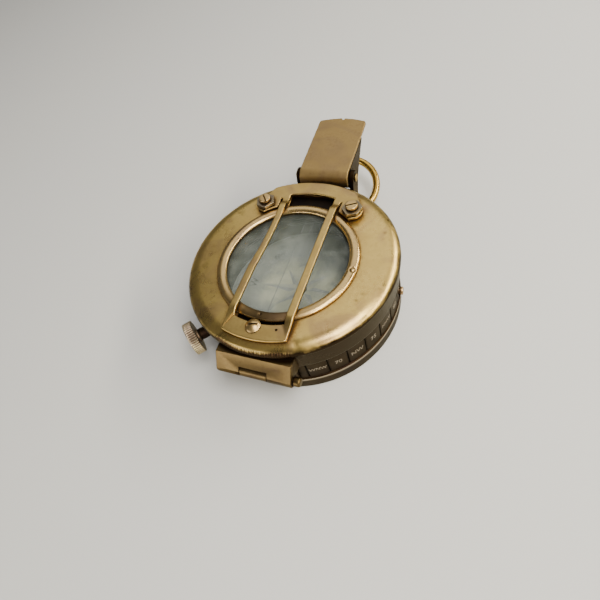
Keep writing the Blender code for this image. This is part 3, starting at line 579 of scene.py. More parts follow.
def block(name, lowest, highest, material, matrix=Matrix()):
    """A plain box."""
    bm = bmesh.new()
    bmesh.ops.create_cube(bm, size=1.0)
    size = Vector(highest) - Vector(lowest)
    bmesh.ops.scale(bm, vec=size * MM, verts=bm.verts)
    bmesh.ops.translate(bm, vec=(Vector(highest) + Vector(lowest)) / 2 * MM, verts=bm.verts)
    return solid(name, bm, material, matrix)


def boolean(obj, tool, operation="DIFFERENCE"):
    """Applies an exact Boolean at once and removes the tool."""
    modifier = obj.modifiers.new("cut", "BOOLEAN")
    modifier.operation = operation
    modifier.solver = "EXACT"
    modifier.object = tool
    mesh = final_mesh(obj)
    obj.modifiers.clear()
    kept = obj.data.materials[0]
    obj.data = mesh
    mesh.materials.clear()
    mesh.materials.append(kept)
    for polygon in mesh.polygons:
        polygon.material_index = 0
    bpy.data.objects.remove(tool)


def rod(name, radius, bottom, top, material, matrix=Matrix(), edge=0.0, sides=SMALL_SIDES, step=50):
    """A cylinder whose ends are rounded by edge."""
    corners = [(0, bottom, 0), (radius, bottom, edge), (radius, top, edge), (0, top, 0)]
    return lathe(name, rounded(corners, step), material, matrix, sides)


def drill(obj, radius, bottom, top, matrix=Matrix(), sides=SMALL_SIDES):
    """Cuts a round hole."""
    boolean(obj, rod("drill", radius, bottom, top, obj.data.materials[0], matrix, sides=sides))


def mill(obj, lowest, highest, matrix=Matrix()):
    """Cuts a box away."""
    boolean(obj, block("mill", lowest, highest, obj.data.materials[0], matrix))


def settle(obj, matrix=Matrix()):
    """Moves a cut piece to its place and marks its sharp edges again."""
    obj.data.transform(matrix)
    obj.data.set_sharp_from_angle(angle=SHARP)


def round_edges(obj, width, angle):
    """Bevels the edges that turn more than an angle in degrees."""
    bevel = obj.modifiers.new("rounded edges", "BEVEL")
    bevel.width = width * MM
    bevel.segments = 3
    bevel.limit_method = "ANGLE"
    bevel.angle_limit = math.radians(angle)
    return bevel


def place(obj, body, slot, *nodes):
    """Lets a piece ride on its body and stand for its nodes, which are hidden.

    Flat faces are shaded flat beside rounded ones, and glass casts no shadow.
    """
    weighted = obj.modifiers.new("flat faces stay flat", "WEIGHTED_NORMAL")
    weighted.keep_sharp = True
    weighted.weight = 80
    obj.visible_shadow = slot != "glass"
    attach(obj, body)
    if nodes:
        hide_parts(*nodes)


def turned(node, body, slot, profile, *shape):
    """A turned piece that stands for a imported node. The shape is what lathe takes after a profile."""
    place(lathe(node + "_fine", profile, *shape), body, slot, node)


def refined(node, body, edge=0.2, material=BROWN_BRASS, slot="case_brass"):
    """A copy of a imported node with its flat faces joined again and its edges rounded."""
    bm = bmesh.new()
    bm.from_mesh(frame["nodes"][node].data)
    bmesh.ops.remove_doubles(bm, verts=bm.verts, dist=0.00002)
    bmesh.ops.dissolve_limit(
        bm, angle_limit=math.radians(2), verts=bm.verts, edges=bm.edges, delimit={"NORMAL"}
    )
    obj = solid(node + "_fine", bm, material)
    round_edges(obj, edge, 35).harden_normals = True
    place(obj, body, slot, node)


def pane(node, body, material, matrix=Matrix()):
    """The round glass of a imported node."""
    size = high(node).x, low(node).z, high(node).z
    obj = rod(node + "_fine", *size, material, matrix, 0.15, SIDES, 8)
    place(obj, body, "glass", node)


# ---------- lid


LID_SIDES = 720  # closer steps, for the ribs and dents
RIB_PITCH = 0.85
RIB_DEPTH = 0.16
RIB_REACH = 21  # degrees to each side of the hinge
DENTS = (  # x, y, depth and width
    (29.0, -11.0, 0.10, 1.0),
    (27.6, -13.6, 0.07, 0.8),
    (33.5, -8.0, 0.05, 1.2),
    (-30.5, -9.0, 0.06, 1.3),
    (13.5, -32.0, 0.08, 0.9),
    (-27.0, 17.0, 0.05, 1.6),
    (30.0, 14.5, 0.05, 1.0),
)


def bell(distance, width):
    return np.exp(-((distance / width) ** 2))


def lid_relief(radius, z, turn):
    """Milled ribs on the rim over the hinge, and small dents that wear has left on the top."""
    x, y = radius * np.cos(turn), radius * np.sin(turn)
    back = turn + math.pi / 2
    from_hinge = np.degrees(np.abs(np.arctan2(np.sin(back), np.cos(back))))
    on_rim = (radius > LID_R - 1.2) & (z > LID_STEP_Z + 0.3) & (z < LID_TOP - 1.1)
    ribs = np.cos(turn * LID_R * 2 * math.pi / RIB_PITCH)
    fade = np.clip((RIB_REACH - from_hinge) / 2, 0, 1) * on_rim
    shift = -RIB_DEPTH * (1 - ribs) / 2 * fade
    cut = 0.5 * (1 - ribs) / 2 * fade
    top = (z > LID_TOP - 2) & (radius > WINDOW_R - 3)
    for dent_x, dent_y, deep, wide in DENTS:
        away = np.hypot(x - dent_x, y - dent_y)
        shift = shift - deep * bell(away, wide) * top
        cut = np.maximum(cut, 0.5 * bell(away, wide * 0.5) * top)
    wave = 0.035 * np.sin(3 * turn + 0.7) * np.cos(2 * turn - 1.1)
    return shift + wave * top, cut


def make_lid():
    inner = LID_SKIRT_R - 1.0
    hub = 12.0  # the plate is turned from here outwards; the window's opening is wider
    across, down = 5.0, 2.9  # the shoulder is a quarter of an ellipse
    shoulder = [
        (LID_R - across + across * math.sin(t), LID_TOP - down + down * math.cos(t))
        for t in np.linspace(0, math.pi / 2, 15)
    ]
    flat = [between((hub, LID_TOP), shoulder[0], i / 24) for i in range(24)]
    corners = [
        (LID_R, LID_STEP_Z + 0.4, 0), (LID_R, LID_STEP_Z, 0.2),
        (LID_SKIRT_R, LID_STEP_Z - 0.25, 0.15), (LID_SKIRT_R, LID_BOTTOM, 0.3),
        (inner, LID_BOTTOM, 0.3), (inner, LID_UNDER - 0.5, 1.8),
        (hub, LID_UNDER, 0),
    ]
    side = rounded(corners, 0.7)
    side = side[: side.index((hub, LID_UNDER)) + 1]
    lid = lathe("lid_shell_fine", flat + shoulder + side, LID_BRASS, Matrix(), LID_SIDES, lid_relief)
    over = LID_TOP + 2
    drill(lid, WINDOW_R, LID_UNDER - 2, over, move(0, WINDOW_Y, 0), SIDES)
    floor = LID_UNDER + 0.4
    mill(lid, (-SLOT_HALF_X, SLOT_FRONT_Y, floor), (SLOT_HALF_X, SLOT_BACK_Y, over))
    # The slot's floor and walls take a near-black painted shade.
    lid.data.materials.append(SLOT_SHADE)
    near = 0.01
    for polygon in lid.data.polygons:
        x, y, z = polygon.center / MM
        in_slot = abs(x) < SLOT_HALF_X + near and SLOT_FRONT_Y - near < y < SLOT_BACK_Y + near
        if in_slot and floor - near < z < LID_TOP - 0.2:
            polygon.material_index = 1
    place(lid, "lid", "lid_brass", "lid_shell")


def bead_relief(radius, z, turn):
    """A pin head on the right of the bead, a small hole at its front, and its dark places.

    A painted dark reflection lies on the front, all but its outer edge, and painted shade on the wall inside
    the bead.
    """
    along = radius - (BEAD_OUT - BEAD_HALF)
    upper = z > BEAD_TOP - 0.95
    degrees = np.degrees(turn) % 360
    pin = np.hypot(along - 0.5, (degrees - 357) * math.pi / 180 * BEAD_OUT)
    hole = np.hypot(along + 0.2, (degrees - 268.5) * math.pi / 180 * BEAD_OUT)
    shift = -0.30 * bell(pin - 0.85, 0.28) * upper - 0.5 * bell(hole, 0.42) * upper
    cut = bell(hole, 0.45) * upper + 0.9 * bell(pin - 0.85, 0.30) * upper
    wobble = 0.02 * np.sin(5 * turn) * upper
    # Painted shade on the wall inside the bead.
    inside = (radius < BEAD_OUT - 2 * BEAD_HALF + 0.12) & ~upper
    # A painted dark reflection on the bead's front.
    front_dark_reflection = 0.90 * bell(degrees - 268, 34) * (along < 1.3)
    return shift + wobble, np.clip(np.maximum(np.maximum(cut, front_dark_reflection), 0.95 * inside), 0, 1)


def make_window():
    base = LID_TOP + GAP
    glass_low, glass_high = low("window_glass").z, high("window_glass").z
    glass_r = high("window_glass").x
    centre_r = BEAD_OUT - BEAD_HALF
    rise = BEAD_TOP - base
    turns = np.linspace(math.pi, 0, 29)
    bead = [(centre_r + BEAD_HALF * math.cos(t), base + rise * math.sin(t)) for t in turns]
    bottom = low("window_bead").z
    profile = bead + [(WINDOW_R - GAP, base), (WINDOW_R - GAP, bottom), (glass_r + GAP, bottom)]
    profile += [(glass_r + GAP, glass_high + GAP), (centre_r - BEAD_HALF, glass_high + GAP)]
    centre = move(0, WINDOW_Y, 0)
    shape = profile, BEAD_BRASS, centre, 2 * SIDES, bead_relief
    turned("window_bead", "lid", "satin_brass", *shape)
    pane("window_glass", "lid", WINDOW_GLASS, centre)
    half_x, half_y = 0.07, glass_r - 0.6
    front = (-half_x, WINDOW_Y - half_y, glass_low - 0.05)
    back = (half_x, WINDOW_Y + half_y, glass_low - 0.01)
    place(block("hairline", front, back, BLACK_INK), "lid", "card")


# ---------- guard


def bow(y, amount):
    """The left bar is bent a little towards the window's middle."""
    return amount * max(0.0, 1 - ((y - 9.0) / 17.0) ** 2)


def guard_outlines():
    """The guard's outer edge with its two ears, and the opening between its bars."""
    half = math.degrees(math.asin(GUARD_HALF_X / GUARD_R))
    bar = range(-26, 26)
    ear_r = BEAD_OUT + 0.4
    right = [(GUARD_HALF_X, y) for y in bar if y < 25]
    ear = [(GUARD_HALF_X + 0.15, 25.0), (GUARD_HALF_X + 0.6, 25.1)]
    ear += arc((0, WINDOW_Y), ear_r, 62.5, 50, 10) + arc(EAR_SCREW, 3.6, -62, 50, 18)
    left_ear = [(-x, y) for x, y in reversed(ear)]
    left = [(-GUARD_HALF_X + bow(y, 1.2), y) for y in reversed(bar) if y < 25]
    outer = arc((0, 0), GUARD_R, -90 - half, -90 + half, 25) + right + ear
    outer += arc((0, 0), GUARD_R, 62, 118, 49) + left_ear + left
    inner_half = math.degrees(math.asin(BAR_INNER_X / GUARD_ARCH_R))
    inner = arc((0, 0), GUARD_ARCH_R, -90 - inner_half, -90 + inner_half, 21)
    inner += [(BAR_INNER_X, y) for y in bar]
    inner += arc((0, 0), GUARD_ARCH_R, 90 - inner_half, 90 + inner_half, 21)
    inner += [(-BAR_INNER_X + bow(y, 0.8), y) for y in reversed(bar)]
    return [outer, inner]


def guard_lift(x, y):
    """The bars step up over the bead; the end plates and the ears lie flat."""
    if abs(x) > GUARD_HALF_X + 0.08:
        return 0.0
    foot = BEAD_OUT + 0.5
    reach = abs(y - WINDOW_Y)
    t = min(1.0, max(0.0, (foot - reach) / 2.4))
    crown = 0.2 * max(0.0, 1 - (y / foot) ** 2)
    return (GUARD_LIFT + crown) * t * t * (3 - 2 * t)


def make_guard():
    guard = sheet("guard_frame_fine", guard_outlines(), GUARD_Z, GUARD_Z + GUARD_T, 0.38, SATIN_BRASS)
    for vert in guard.data.vertices:
        vert.co.z += guard_lift(vert.co.x / MM, vert.co.y / MM) * MM
    dimple = 7.0, -29.5, 0
    drill(guard, 0.45, GUARD_Z + 0.7, GUARD_Z + 3, move(*dimple))
    settle(guard)
    place(guard, "lid", "satin_brass", "guard_frame")
    x, y = EAR_SCREW
    for word, side, slot_turn in (("left", -1, 127), ("right", 1, 24)):
        make_nut(f"guard_nut_{word}", (side * x, y), 12 * side)
        make_guard_screw(f"guard_screw_{word}", (side * x, y), 2.2, 0.8, slot_turn)
    make_guard_screw("guard_screw_front", FRONT_SCREW, 2.5, 0.6, 17, domed=True)


def make_guard_screw(node, centre, head_r, shank_r, slot_turn, domed=False):
    matrix = move(*centre, high(node).z - GUARD_HEAD_H)
    sizes = head_r, GUARD_HEAD_H, shank_r
    make_screw(node, ("lid", "satin_brass"), matrix, *sizes, slot_turn, SCREW_BRASS, domed)


def make_nut(node, centre, turn):
    """A six-sided nut with its upper corners turned off."""
    bottom, top = low(node).z, high(node).z
    corner_r = 3.75
    outline = [(*arc((0, 0), corner_r, 60 * i, 61, 2)[0], 0.35) for i in range(6)]
    nut = sheet(node + "_fine", [rounded(outline, 4)], bottom, top, 0.12, NUT_BRASS)
    cone = [(0, bottom - 1), (5.0, bottom - 1), (5.0, bottom + 0.35), (3.1, top + 0.5), (0, top + 0.5)]
    boolean(nut, lathe("cone", cone, NUT_BRASS), "INTERSECT")
    drill(nut, 1.1, bottom - 2, top + 2)
    settle(nut, move(*centre, 0) @ spin(turn))
    place(nut, "lid", "satin_brass", node)


def make_screw(
    node, place_in, matrix, head_r, head_h, shank_r, slot_turn, material, domed=False, shank=None
):
    """A slotted screw. Its head stands on the frame's z = 0 and its shank runs down from there.

    place_in is its body and slot.
    """
    if shank is None:
        shank = (high(node) - low(node)).z - head_h
    if domed:
        ball = (head_r**2 + head_h**2) / (2 * head_h)
        lean = math.degrees(math.asin(head_r / ball))
        head = arc((0, head_h - ball), ball, 90 - lean, 90, 10)
        head[-1] = (0, head_h)
    else:
        head = rounded([(0, 0, 0), (head_r, 0, 0.15), (head_r, head_h, 0.35), (0, head_h, 0)], 1.0)
        head = [p for p in head if p[0] > shank_r or p[1] > head_h * 0.5]
    pitch = 0.35
    thread = []
    for i in range(int(shank / pitch)):
        thread += [(shank_r, -pitch * i), (shank_r - 0.1, -pitch * i - pitch / 2)]
    profile = [(0, -shank), (shank_r - 0.15, -shank)] + thread[::-1] + head
    if profile[-1][0] > 0:
        profile.append((0, head_h))
    screw = lathe(node + "_fine", profile, material, sides=SMALL_SIDES)
    slot = (-head_r - 1, -head_r * 0.13, head_h * 0.45), (head_r + 1, head_r * 0.13, head_h + 1)
    mill(screw, *slot, spin(slot_turn))
    settle(screw, matrix)
    place(screw, *place_in, node)


# ---------- case


BAND_LOW = FLANGE_TOP + 1.0
BAND_HIGH = WALL_TOP - 0.5
DIVISIONS = 32
PANEL = 2 * math.pi / DIVISIONS  # the turn from one dividing line to the next
DIVIDER_HALF = 0.22


def case_angles():
    """Even steps, with closer ones at each of the band's dividing lines."""
    turns = list(full_turn(SIDES) + 0.004)
    for i in range(DIVISIONS):
        line = 2 * math.pi * (i + 0.1) / DIVISIONS
        turns += [line + k * DIVIDER_HALF / WALL_R for k in (-1.4, -1, -0.5, 0, 0.5, 1, 1.4)]
    return np.array(sorted(t % (2 * math.pi) for t in turns))


def case_relief(radius, z, turn):
    """Dividing lines cut into the wall's band, and a painted highlight along the flange's edge."""
    wall = (radius > WALL_R - 0.05) & (radius < WALL_R + 0.05)
    offset = (turn / PANEL - 0.1 + 0.5) % 1 - 0.5
    from_line = np.abs(offset) * PANEL * WALL_R
    groove = np.clip(1.6 - from_line / DIVIDER_HALF, 0, 1) * wall * (z > BAND_LOW) * (z < BAND_HIGH)
    # Painted highlight along the top edge of the flange.
    edge = (radius > WALL_R + 0.3) & (np.abs(z - FLANGE_TOP + 0.1) < 0.12)
    return -0.28 * groove, groove - 0.8 * edge


def make_case():
    rim, seat, well, foot = 34.2, 32.8, 31.2, 34.8  # inner radii, from the top down
    base_top, seat_low, seat_high = 2.0, 9.6, 12.5
    corners = [
        (rim, WALL_TOP, 0.15), (WALL_R, WALL_TOP, 0.3),
        (WALL_R, FLANGE_TOP + 0.35, 0.1), (FLANGE_R, FLANGE_TOP, 0.12),
        (FLANGE_R, 0, 0.7), (foot, 0, 0.2),
        (foot, base_top, 0.1), (well, base_top, 0.2),
        (well, seat_low, 0.15), (seat, seat_low, 0),
        (seat, seat_high, 0.1), (rim, seat_high, 0),
    ]
    profile = rounded(corners, 1.6)
    edges = (BAND_HIGH + 0.05, BAND_HIGH - 0.05, BAND_LOW + 0.05, BAND_LOW - 0.05)
    wall = [i for i, p in enumerate(profile) if p[0] > WALL_R - 0.01]
    start = max(i for i in wall if profile[i][1] > BAND_HIGH)
    end = min(i for i in wall if profile[i][1] < BAND_LOW)
    profile = profile[: start + 1] + [(WALL_R, z) for z in edges] + profile[end:]
    case = lathe("case_body_fine", profile, CASE_BRASS, Matrix(), case_angles(), case_relief)
    drill(case, 1.8, 35.3, 38, BRAKE_PLACE)
    drill(case, 1.5, 33, 38, CLAMP_PLACE)
    place(case, "case", "case_brass", "case_body")


POINTS = "N NNE NE ENE E ESE SE SSE S SSW SW WSW W WNW NW NNW".split()


def text_mesh(words, size, depth):
    """A text's mesh, lying flat and centred on the origin, in metres."""
    curve = bpy.data.curves.new("text", "FONT")
    curve.body = words
    curve.size = size * MM
    curve.extrude = depth / 2 * MM
    curve.align_x = curve.align_y = "CENTER"
    curve.resolution_u = 3
    return curve_mesh(curve)


def lettering(name, labels, material, body, slot):
    """Joins texts into one piece. Each label is (words, size, depth, placing function)."""
    bm = bmesh.new()
    for words, size, depth, placing in labels:
        mesh = text_mesh(words, size, depth)
        for vert in mesh.vertices:
            vert.co = placing(vert.co / MM) * MM
        bm.from_mesh(mesh)
        bpy.data.meshes.remove(mesh)
    place(solid(name, bm, material), body, slot)


def round_wall(turn, z, radius):
    """Wraps a text round the wall, reading from outside."""

    def placing(point):
        angle = turn + point.x / radius
        out = radius + point.z
        return Vector((out * math.cos(angle), out * math.sin(angle), z + point.y))

    return placing


def on_dial(turn, distance, z):
    """Lays a text flat on a dial, its foot towards the middle."""

    def placing(point):
        out = distance + point.y
        x = out * math.cos(turn) + point.x * math.sin(turn)
        y = out * math.sin(turn) - point.x * math.cos(turn)
        return Vector((x, y, z + point.z))

    return placing


def make_band():
    """Compass points and numbers in turn, one in each panel of the band."""
    centre_z = (BAND_LOW + BAND_HIGH) / 2
    labels = []
    for i in range(DIVISIONS):
        turn = (i + 0.6) * PANEL
        if hidden_on_band(turn):
            continue
        words = POINTS[i // 2] if i % 2 == 0 else str(5 * (i // 2 + 1))
        size = 2.7 if len(words) < 3 else 2.1
        labels.append((words, size, 0.16, round_wall(turn, centre_z, WALL_R + 0.02)))
    lettering("band_letters", labels, DULL_FILLING, "case", "case_brass")


def hidden_on_band(turn):
    """True where the hinge leaf, the arm's guide or the brake button covers the band."""
    angle = math.degrees(turn) % 360
    return abs(angle - 270) < 25 or abs(angle - 90) < 20 or min(angle, 360 - angle) < 4


def make_base():
    outer = high("base_plate").x
    top = high("base_plate").z
    corners = [(0, 0, 0)]
    grooves = (12.0, 13.6, 0.3, 0.25), (outer - 5.2, outer - 4.4, 0.2, 0.2)
    for start, end, slope, depth in grooves:
        floor = [(start + slope, depth, 0.1), (end - slope, depth, 0.1)]
        corners += [(start, 0, 0.1), *floor, (end, 0, 0.1)]
    corners += [(outer, 0, 0.35), (outer, top, 0.3), (0, top, 0)]
    base = lathe("base_plate_fine", rounded(corners, 2.5), LEAF_BRASS)
    for i in range(3):
        node = f"base_screw_{i + 1}"
        x, y = middle(node).xy
        drill(base, 1.55, -1, 1.25, move(x, y, 0))
        flip = move(x, y, 0.95) @ spin(180, "X")
        make_screw(node, ("case", "steel"), flip, 1.25, 0.8, 0.6, 40 * i, STEEL)
    place(base, "case", "case_brass", "base_plate")


# ---------- bezel, card and inner pieces


BEZEL_KNURLS = 180


def bezel_relief(radius, z, turn):
    """Fine knurling round the bezel's outer edge."""
    side = (radius > BEZEL_R - 0.02) * (z > BEZEL_TOP - 2.9) * (z < BEZEL_TOP - 0.7)
    knurl = (1 - np.cos(turn * BEZEL_KNURLS)) / 2 * side
    return -0.16 * knurl, 0.35 * knurl


def make_bezel():
    glass_r = high("bezel_glass").x
    inner = glass_r + GAP
    bottom = WALL_TOP + 0.4
    skirt, skirt_low = 33.9, low("bezel_ring").z
    ledge = low("bezel_glass").z - GAP
    corners = [
        (inner, BEZEL_TOP - 0.5, 0.15), (inner + 0.6, BEZEL_TOP, 0.2),
        (BEZEL_R - 0.2, BEZEL_TOP, 0.5), (BEZEL_R, bottom, 0.25),
        (skirt, bottom, 0), (skirt, skirt_low, 0.15),
        (skirt - 0.9, skirt_low, 0.15), (skirt - 0.9, bottom, 0),
        (inner - 1.5, bottom, 0.1), (inner - 1.5, ledge, 0.1),
        (inner, ledge, 0),
    ]
    shape = rounded(corners, 0.8), SATIN_BRASS, Matrix(), 6 * BEZEL_KNURLS, bezel_relief
    turned("bezel_ring", "bezel", "satin_brass", *shape)
    pane("bezel_glass", "bezel", CLEAR_GLASS)
    lengths = [1.5 if i % 6 == 0 else 0.9 for i in range(72)]
    ticks("bezel_ticks", "bezel", BEZEL_TOP, BEZEL_R - 0.8, 0.07, lengths)
    glass_top = high("bezel_glass").z
    line = (-0.09, 4.0, glass_top - 0.01), (0.09, glass_r - 1.0, glass_top + INK_T)
    place(block("direction_line", *line, BLACK_INK), "bezel", "card")


def add_mark(bm, outline, z, degrees):
    """Adds an outline at height z as thin print, turned from the dial's north."""
    turn = spin(90 - degrees)
    lower, upper = (
        [bm.verts.new(turn @ (Vector((x, y, height)) * MM)) for x, y in outline]
        for height in (z, z + INK_T)
    )
    bm.faces.new(lower[::-1])
    bm.faces.new(upper)
    for i in range(len(outline)):
        k = (i + 1) % len(outline)
        bm.faces.new((lower[i], lower[k], upper[k], upper[i]))


def ticks(name, body, z, outer, half, lengths):
    """Even radial marks round a dial, one for each length, all from the same outer radius."""
    bm = bmesh.new()
    for i, length in enumerate(lengths):
        inner = outer - length
        outline = (inner, -half), (outer, -half), (outer, half), (inner, half)
        add_mark(bm, outline, z, 360 * i / len(lengths))
    place(solid(name, bm, BLACK_INK), body, "card")


def make_card():
    inner = 2.0
    bottom = low("compass_card").z
    corners = [(inner, bottom, 0), (CARD_R, bottom, 0.1), (CARD_R, CARD_TOP, 0.1), (inner, CARD_TOP, 0)]
    turned("compass_card", "card", "card", rounded(corners, 4), PAPER)
    lengths = [2.2 if i % 10 == 0 else 1.6 if i % 5 == 0 else 1.0 for i in range(360)]
    ticks("card_ticks", "card", CARD_TOP, CARD_R - 0.5, 0.06, lengths)
    words = [(degree, str(degree), 2.0, 4.2) for degree in range(0, 360, 20)]
    words += [(90 * i, word, 4.2, 8.4) for i, word in enumerate(("N", "E", "S", "W"))]
    words += [(90 * i + 45, word, 2.6, 8.0) for i, word in enumerate(("NE", "SE", "SW", "NW"))]
    labels = []
    for degree, word, size, inset in words:
        placing = on_dial(math.radians(90 - degree), CARD_R - inset, CARD_TOP + 0.02)
        labels.append((word, size, INK_T, placing))
    lettering("card_numbers", labels, BLACK_INK, "card", "card")
    make_rose()


def make_rose():
    """An eight-pointed star: each point has a grey half and an olive half."""
    start, waist_r = 2.4, 4.6
    for name, side, material in (("rose_dark", 1, GREY_INK), ("rose_light", -1, OLIVE_INK)):
        bm = bmesh.new()
        waist = math.pi / 8 * side
        for i in range(8):
            reach = 17.5 if i % 2 == 0 else 12.0
            corner = (waist_r * math.cos(waist), waist_r * math.sin(waist))
            add_mark(bm, ((start, 0), (reach, 0), corner), CARD_TOP, 45 * i)
        place(solid(name, bm, material), "card", "card")


def make_inner_pieces():
    """Pieces inside the case, which show only through the glass or with the lid open."""
    cap = [(0, 8.1), (0.9, 7.9), (1.7, 7.2), (1.7, 4.6), (0.75, 4.6), (0.75, 6.4), (0, 7.35)]
    turned("jewel_cap", "card", "case_brass", cap, SATIN_BRASS)
    looks = {
        CLEAR_GLASS: ("case_glass", "prism", "eye_lens"),
        STEEL: ("pivot_post", "magnet_bar", "brake_leaf"),
        BROWN_BRASS: ("case_glass_ring", "window_clip", "clamp_shoe"),
    }
    for material, nodes in looks.items():
        for node in nodes:
            obj = frame["nodes"][node]
            obj.data.materials.clear()
            obj.data.materials.append(material)
            obj.visible_shadow = material != CLEAR_GLASS


# ---------- hinge, clamp, brake


def make_hinge():
    y, z = HINGE.y, HINGE.z
    top = z + 6.1
    slope = math.degrees(math.atan2(4.7, 3.4))
    outline = arc((y, z), HINGE_R, 270, 90 + slope, 22)
    outline += [(y + 1.7, top), (y + 6.5, top), (y + 6.5, z - 0.4), (y + 2.0, z - 0.4)]
    width = -HINGE_HALF_X, HINGE_HALF_X
    leaf = sheet("lid_hinge_leaf_fine", [outline], *width, 0.3, LEAF_BRASS, SIDE_PLANE)
    drill(leaf, LID_SKIRT_R + GAP, 0, 40, sides=SIDES)
    reach = KNUCKLE_HALF_X + GAP
    mill(leaf, (-reach, y - 4, z - 4), (reach, y + 5, z + 2.9))
    drill(leaf, 1.4, -20, 20, sideways(0, y, z))
    place(leaf, "lid", "lid_brass", "lid_hinge_leaf")
    refined("case_hinge_leaf", "case", material=LEAF_BRASS)
    pin_r, head_r = 1.1, 1.6
    start, head, end = -HINGE_HALF_X - 0.6, HINGE_HALF_X + 0.4, high("hinge_pin").x
    corners = [(0, start, 0), (pin_r, start, 0.2), (pin_r, head, 0)]
    corners += [(head_r, head, 0.1), (head_r, end, 0.7), (0, end, 0)]
    profile = rounded(corners, 2)
    turned("hinge_pin", "case", "case_brass", profile, LEAF_BRASS, sideways(0, y, z))


CLAMP_KNURLS = 44


def clamp_relief(radius, z, turn):
    """Straight knurling on the rim of the clamp's head, and painted shade darkening its stem."""
    up = z - CLAMP_HEAD_AT
    side = (radius > CLAMP_HEAD_R - 0.05) * (up > 0.2) * (up < CLAMP_HEAD_T - 0.2)
    knurl = (1 - np.cos(turn * CLAMP_KNURLS)) / 2 * side
    # The stem below the head gets painted shade.
    return -0.32 * knurl, 0.55 * knurl + 0.9 * (up < -0.1)


def make_clamp():
    near, far = CLAMP_HEAD_AT, CLAMP_HEAD_AT + CLAMP_HEAD_T
    tip, collar = 35.9, 40.5
    stem_r, collar_r = 1.15, 2.4
    corners = [
        (0, tip, 0), (stem_r, tip, 0.2),
        (stem_r, collar, 0), (collar_r, collar, 0.2),
        (collar_r, near, 0), (CLAMP_HEAD_R, near, 0.2),
        (CLAMP_HEAD_R, far, 0.2), (CLAMP_HEAD_R - 0.9, far, 0.1),
        (CLAMP_HEAD_R - 1.4, far - 0.35, 0.1), (2.0, far - 0.35, 0.1),
        (1.6, far, 0.1), (0, far, 0),
    ]
    shape = rounded(corners, 0.5), CLAMP_BRASS, CLAMP_PLACE, 8 * CLAMP_KNURLS, clamp_relief
    turned("clamp_screw", "clamp_screw", "satin_brass", *shape)
    refined("clamp_boss", "case", 0.25)


def make_brake():
    inner, step, outer = 30.8, 36.7, 37.7
    stem_r, cap_r = 1.1, 1.5
    corners = [(0, inner, 0), (stem_r, inner, 0.1), (stem_r, step, 0)]
    corners += [(cap_r, step, 0.1), (cap_r, outer, 0.6), (0, outer, 0)]
    shape = rounded(corners, 1), BEAD_BRASS, BRAKE_PLACE
    turned("brake_button", "brake", "satin_brass", *shape)


# ---------- prism arm


def make_arm():
    make_strip()
    refined("prism_box", "arm")
    refined("lens_ring", "arm", 0.12, BEAD_BRASS, "satin_brass")
    refined("arm_bracket", "arm_slide")
    refined("arm_guide", "case")
    pin_r, head_r, head_t = 1.0, 1.5, 0.4
    left, right = low("arm_pin").x, high("arm_pin").x
    corners = [(0, left, 0), (head_r, left, 0.3), (head_r, left + head_t, 0), (pin_r, left + head_t, 0)]
    corners += [(pin_r, right - head_t, 0), (head_r, right - head_t, 0), (head_r, right, 0.3), (0, right, 0)]
    shape = rounded(corners, 2), SATIN_BRASS, sideways(0, FOLD.y, FOLD.z)
    turned("arm_pin", "arm_slide", "satin_brass", *shape)
    for word in ("left", "right"):
        node = f"guide_screw_{word}"
        head = high(node).y - 1.0
        matrix = move(middle(node).x, head, middle(node).z) @ spin(-90, "X")
        shank = head - low(node).y
        place_in = "case", "satin_brass"
        make_screw(node, place_in, matrix, 1.9, 1.0, 1.0, 30, SATIN_BRASS, shank=shank)


def make_strip():
    """The arm's strip: bent over the fold, straight to its tip, and cut to a notched plan."""
    fold = (FOLD.y, FOLD.z)
    bend = arc(fold, ROLL_R, 200, 93, 24)
    run = [between(bend[-1], ARM_TIP, i / 12) for i in range(1, 13)]
    under = [(y, z - ARM_T) for y, z in reversed(run)]
    outline = bend + run + under + arc(fold, ROLL_R - ARM_T, 93, 200, 24)
    side = ARM_HALF_X + 2
    strip = sheet("arm_strip_fine", [outline], -side, side, 0.2, STRIP_BRASS, SIDE_PLANE)
    corner, notch, shoulder = 1.2, 0.7, 4.5
    far = ARM_TIP[0] - 0.1
    centre_x, centre_y = ARM_HALF_X - corner, far - 1.3 - corner
    plan = [(-ARM_HALF_X, 30), (ARM_HALF_X, 30)]
    plan += arc((centre_x, centre_y), corner, 0, 75, 8)
    plan += [(shoulder, far - 0.35), (notch, far), (0, far - 1.0)]
    plan += [(-notch, far), (-shoulder, far - 0.35)]
    plan += arc((-centre_x, centre_y), corner, 105, 180, 8)
    boolean(strip, sheet("plan", [plan], 15, 40, 0.01, STRIP_BRASS), "INTERSECT")
    round_edges(strip, 0.25, 40)
    place(strip, "arm", "satin_brass", "arm_strip")


def make_thumb_ring():
    wire = arc((RING_R, 0), RING_WIRE_R, 0, 342, 20)
    matrix = move(*RING_PIVOT) @ spin(RING_TILT, "X") @ move(0, RING_R, 0)
    turned("thumb_ring", "thumb_ring", "satin_brass", wire, RING_BRASS, matrix, 128)
    refined("ring_lug", "case", 0.3)


# ---------- studio


def make_floor():
    bm = bmesh.new()
    bmesh.ops.create_grid(bm, x_segments=2, y_segments=2, size=3.0)
    graph = Graph("pale_floor")
    cloud = graph.noise(3.0, 3.0)
    tint = graph.mix(cloud, (0.50, 0.495, 0.485), (0.53, 0.525, 0.515))
    floor = solid("floor", bm, graph.surface(Base_Color=tint, Roughness=0.8))
    floor.data.flip_normals()
    floor.location.z = -0.0001


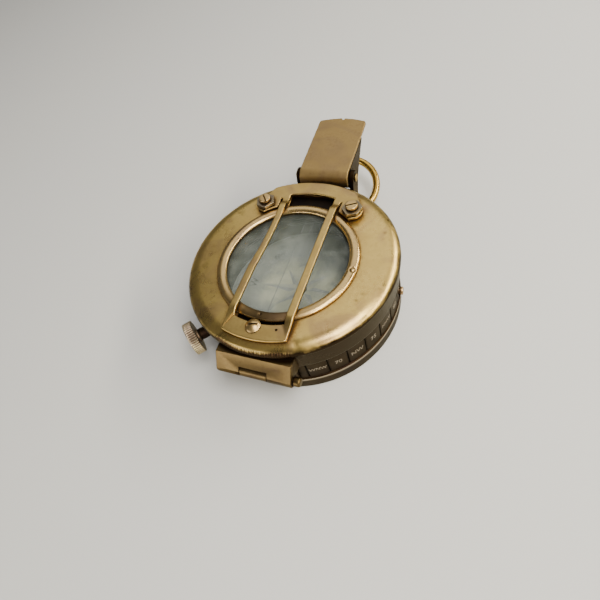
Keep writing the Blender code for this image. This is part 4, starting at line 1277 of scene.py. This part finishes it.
def area_light(name, spot, size, power, colour):
    """A rectangular light, with its place and size in metres, that shines at the compass."""
    data = bpy.data.lights.new(name, "AREA")
    data.shape = "RECTANGLE"
    data.size, data.size_y = size
    data.energy = power
    data.color = colour
    light = add_object(name, data)
    light.location = spot
    towards = Vector((0, 0, 0.02)) - Vector(spot)
    light.rotation_euler = towards.to_track_quat("-Z", "Y").to_euler()


def make_studio():
    make_floor()
    area_light("key", (0.45, -0.34, 0.44), (0.22, 0.22), 3.2, (1.0, 0.94, 0.78))
    area_light("right", (0.52, 0.22, 0.38), (0.95, 0.09), 7.0, (1.0, 0.94, 0.78))
    area_light("above", (0.26, -0.06, 0.62), (0.30, 0.30), 4.4, (1.0, 0.98, 0.92))
    area_light("sky", (-0.10, 0.50, 0.68), (0.70, 0.70), 2.2, (1.0, 0.99, 0.96))
    area_light("front", (-0.38, -0.75, 0.13), (0.8, 0.24), 5.0, (1.0, 0.98, 0.95))
    world = bpy.data.worlds.new("studio")
    world.use_nodes = True
    sockets = world.node_tree.nodes["Background"].inputs
    sockets["Color"].default_value = (0.80, 0.80, 0.80, 1)
    sockets["Strength"].default_value = 0.20
    bpy.context.scene.world = world


def make_camera():
    """Looks down on the compass from its hinge end, with the picture's top towards the arm.

    Its directions are those of the camera's own axes, and its place is in metres.
    """
    data = bpy.data.cameras.new("camera")
    data.lens = 26.88
    data.sensor_width = 36
    camera = add_object("camera", data)
    right = Vector((0.9206, 0.3225, -0.2198))
    up = Vector((-0.1545, 0.8183, 0.5535))
    back = Vector((0.3584, -0.4756, 0.8033))
    spot = Vector((0.0609, -0.0843, 0.1411))
    camera.matrix_world = Matrix([*zip(right, up, back, spot), (0, 0, 0, 1)])
    bpy.context.scene.camera = camera


def main():
    make_lid()
    make_window()
    make_guard()
    make_case()
    make_band()
    make_base()
    make_bezel()
    make_card()
    make_inner_pieces()
    make_hinge()
    make_clamp()
    make_brake()
    make_arm()
    make_thumb_ring()
    make_studio()
    make_camera()


main()
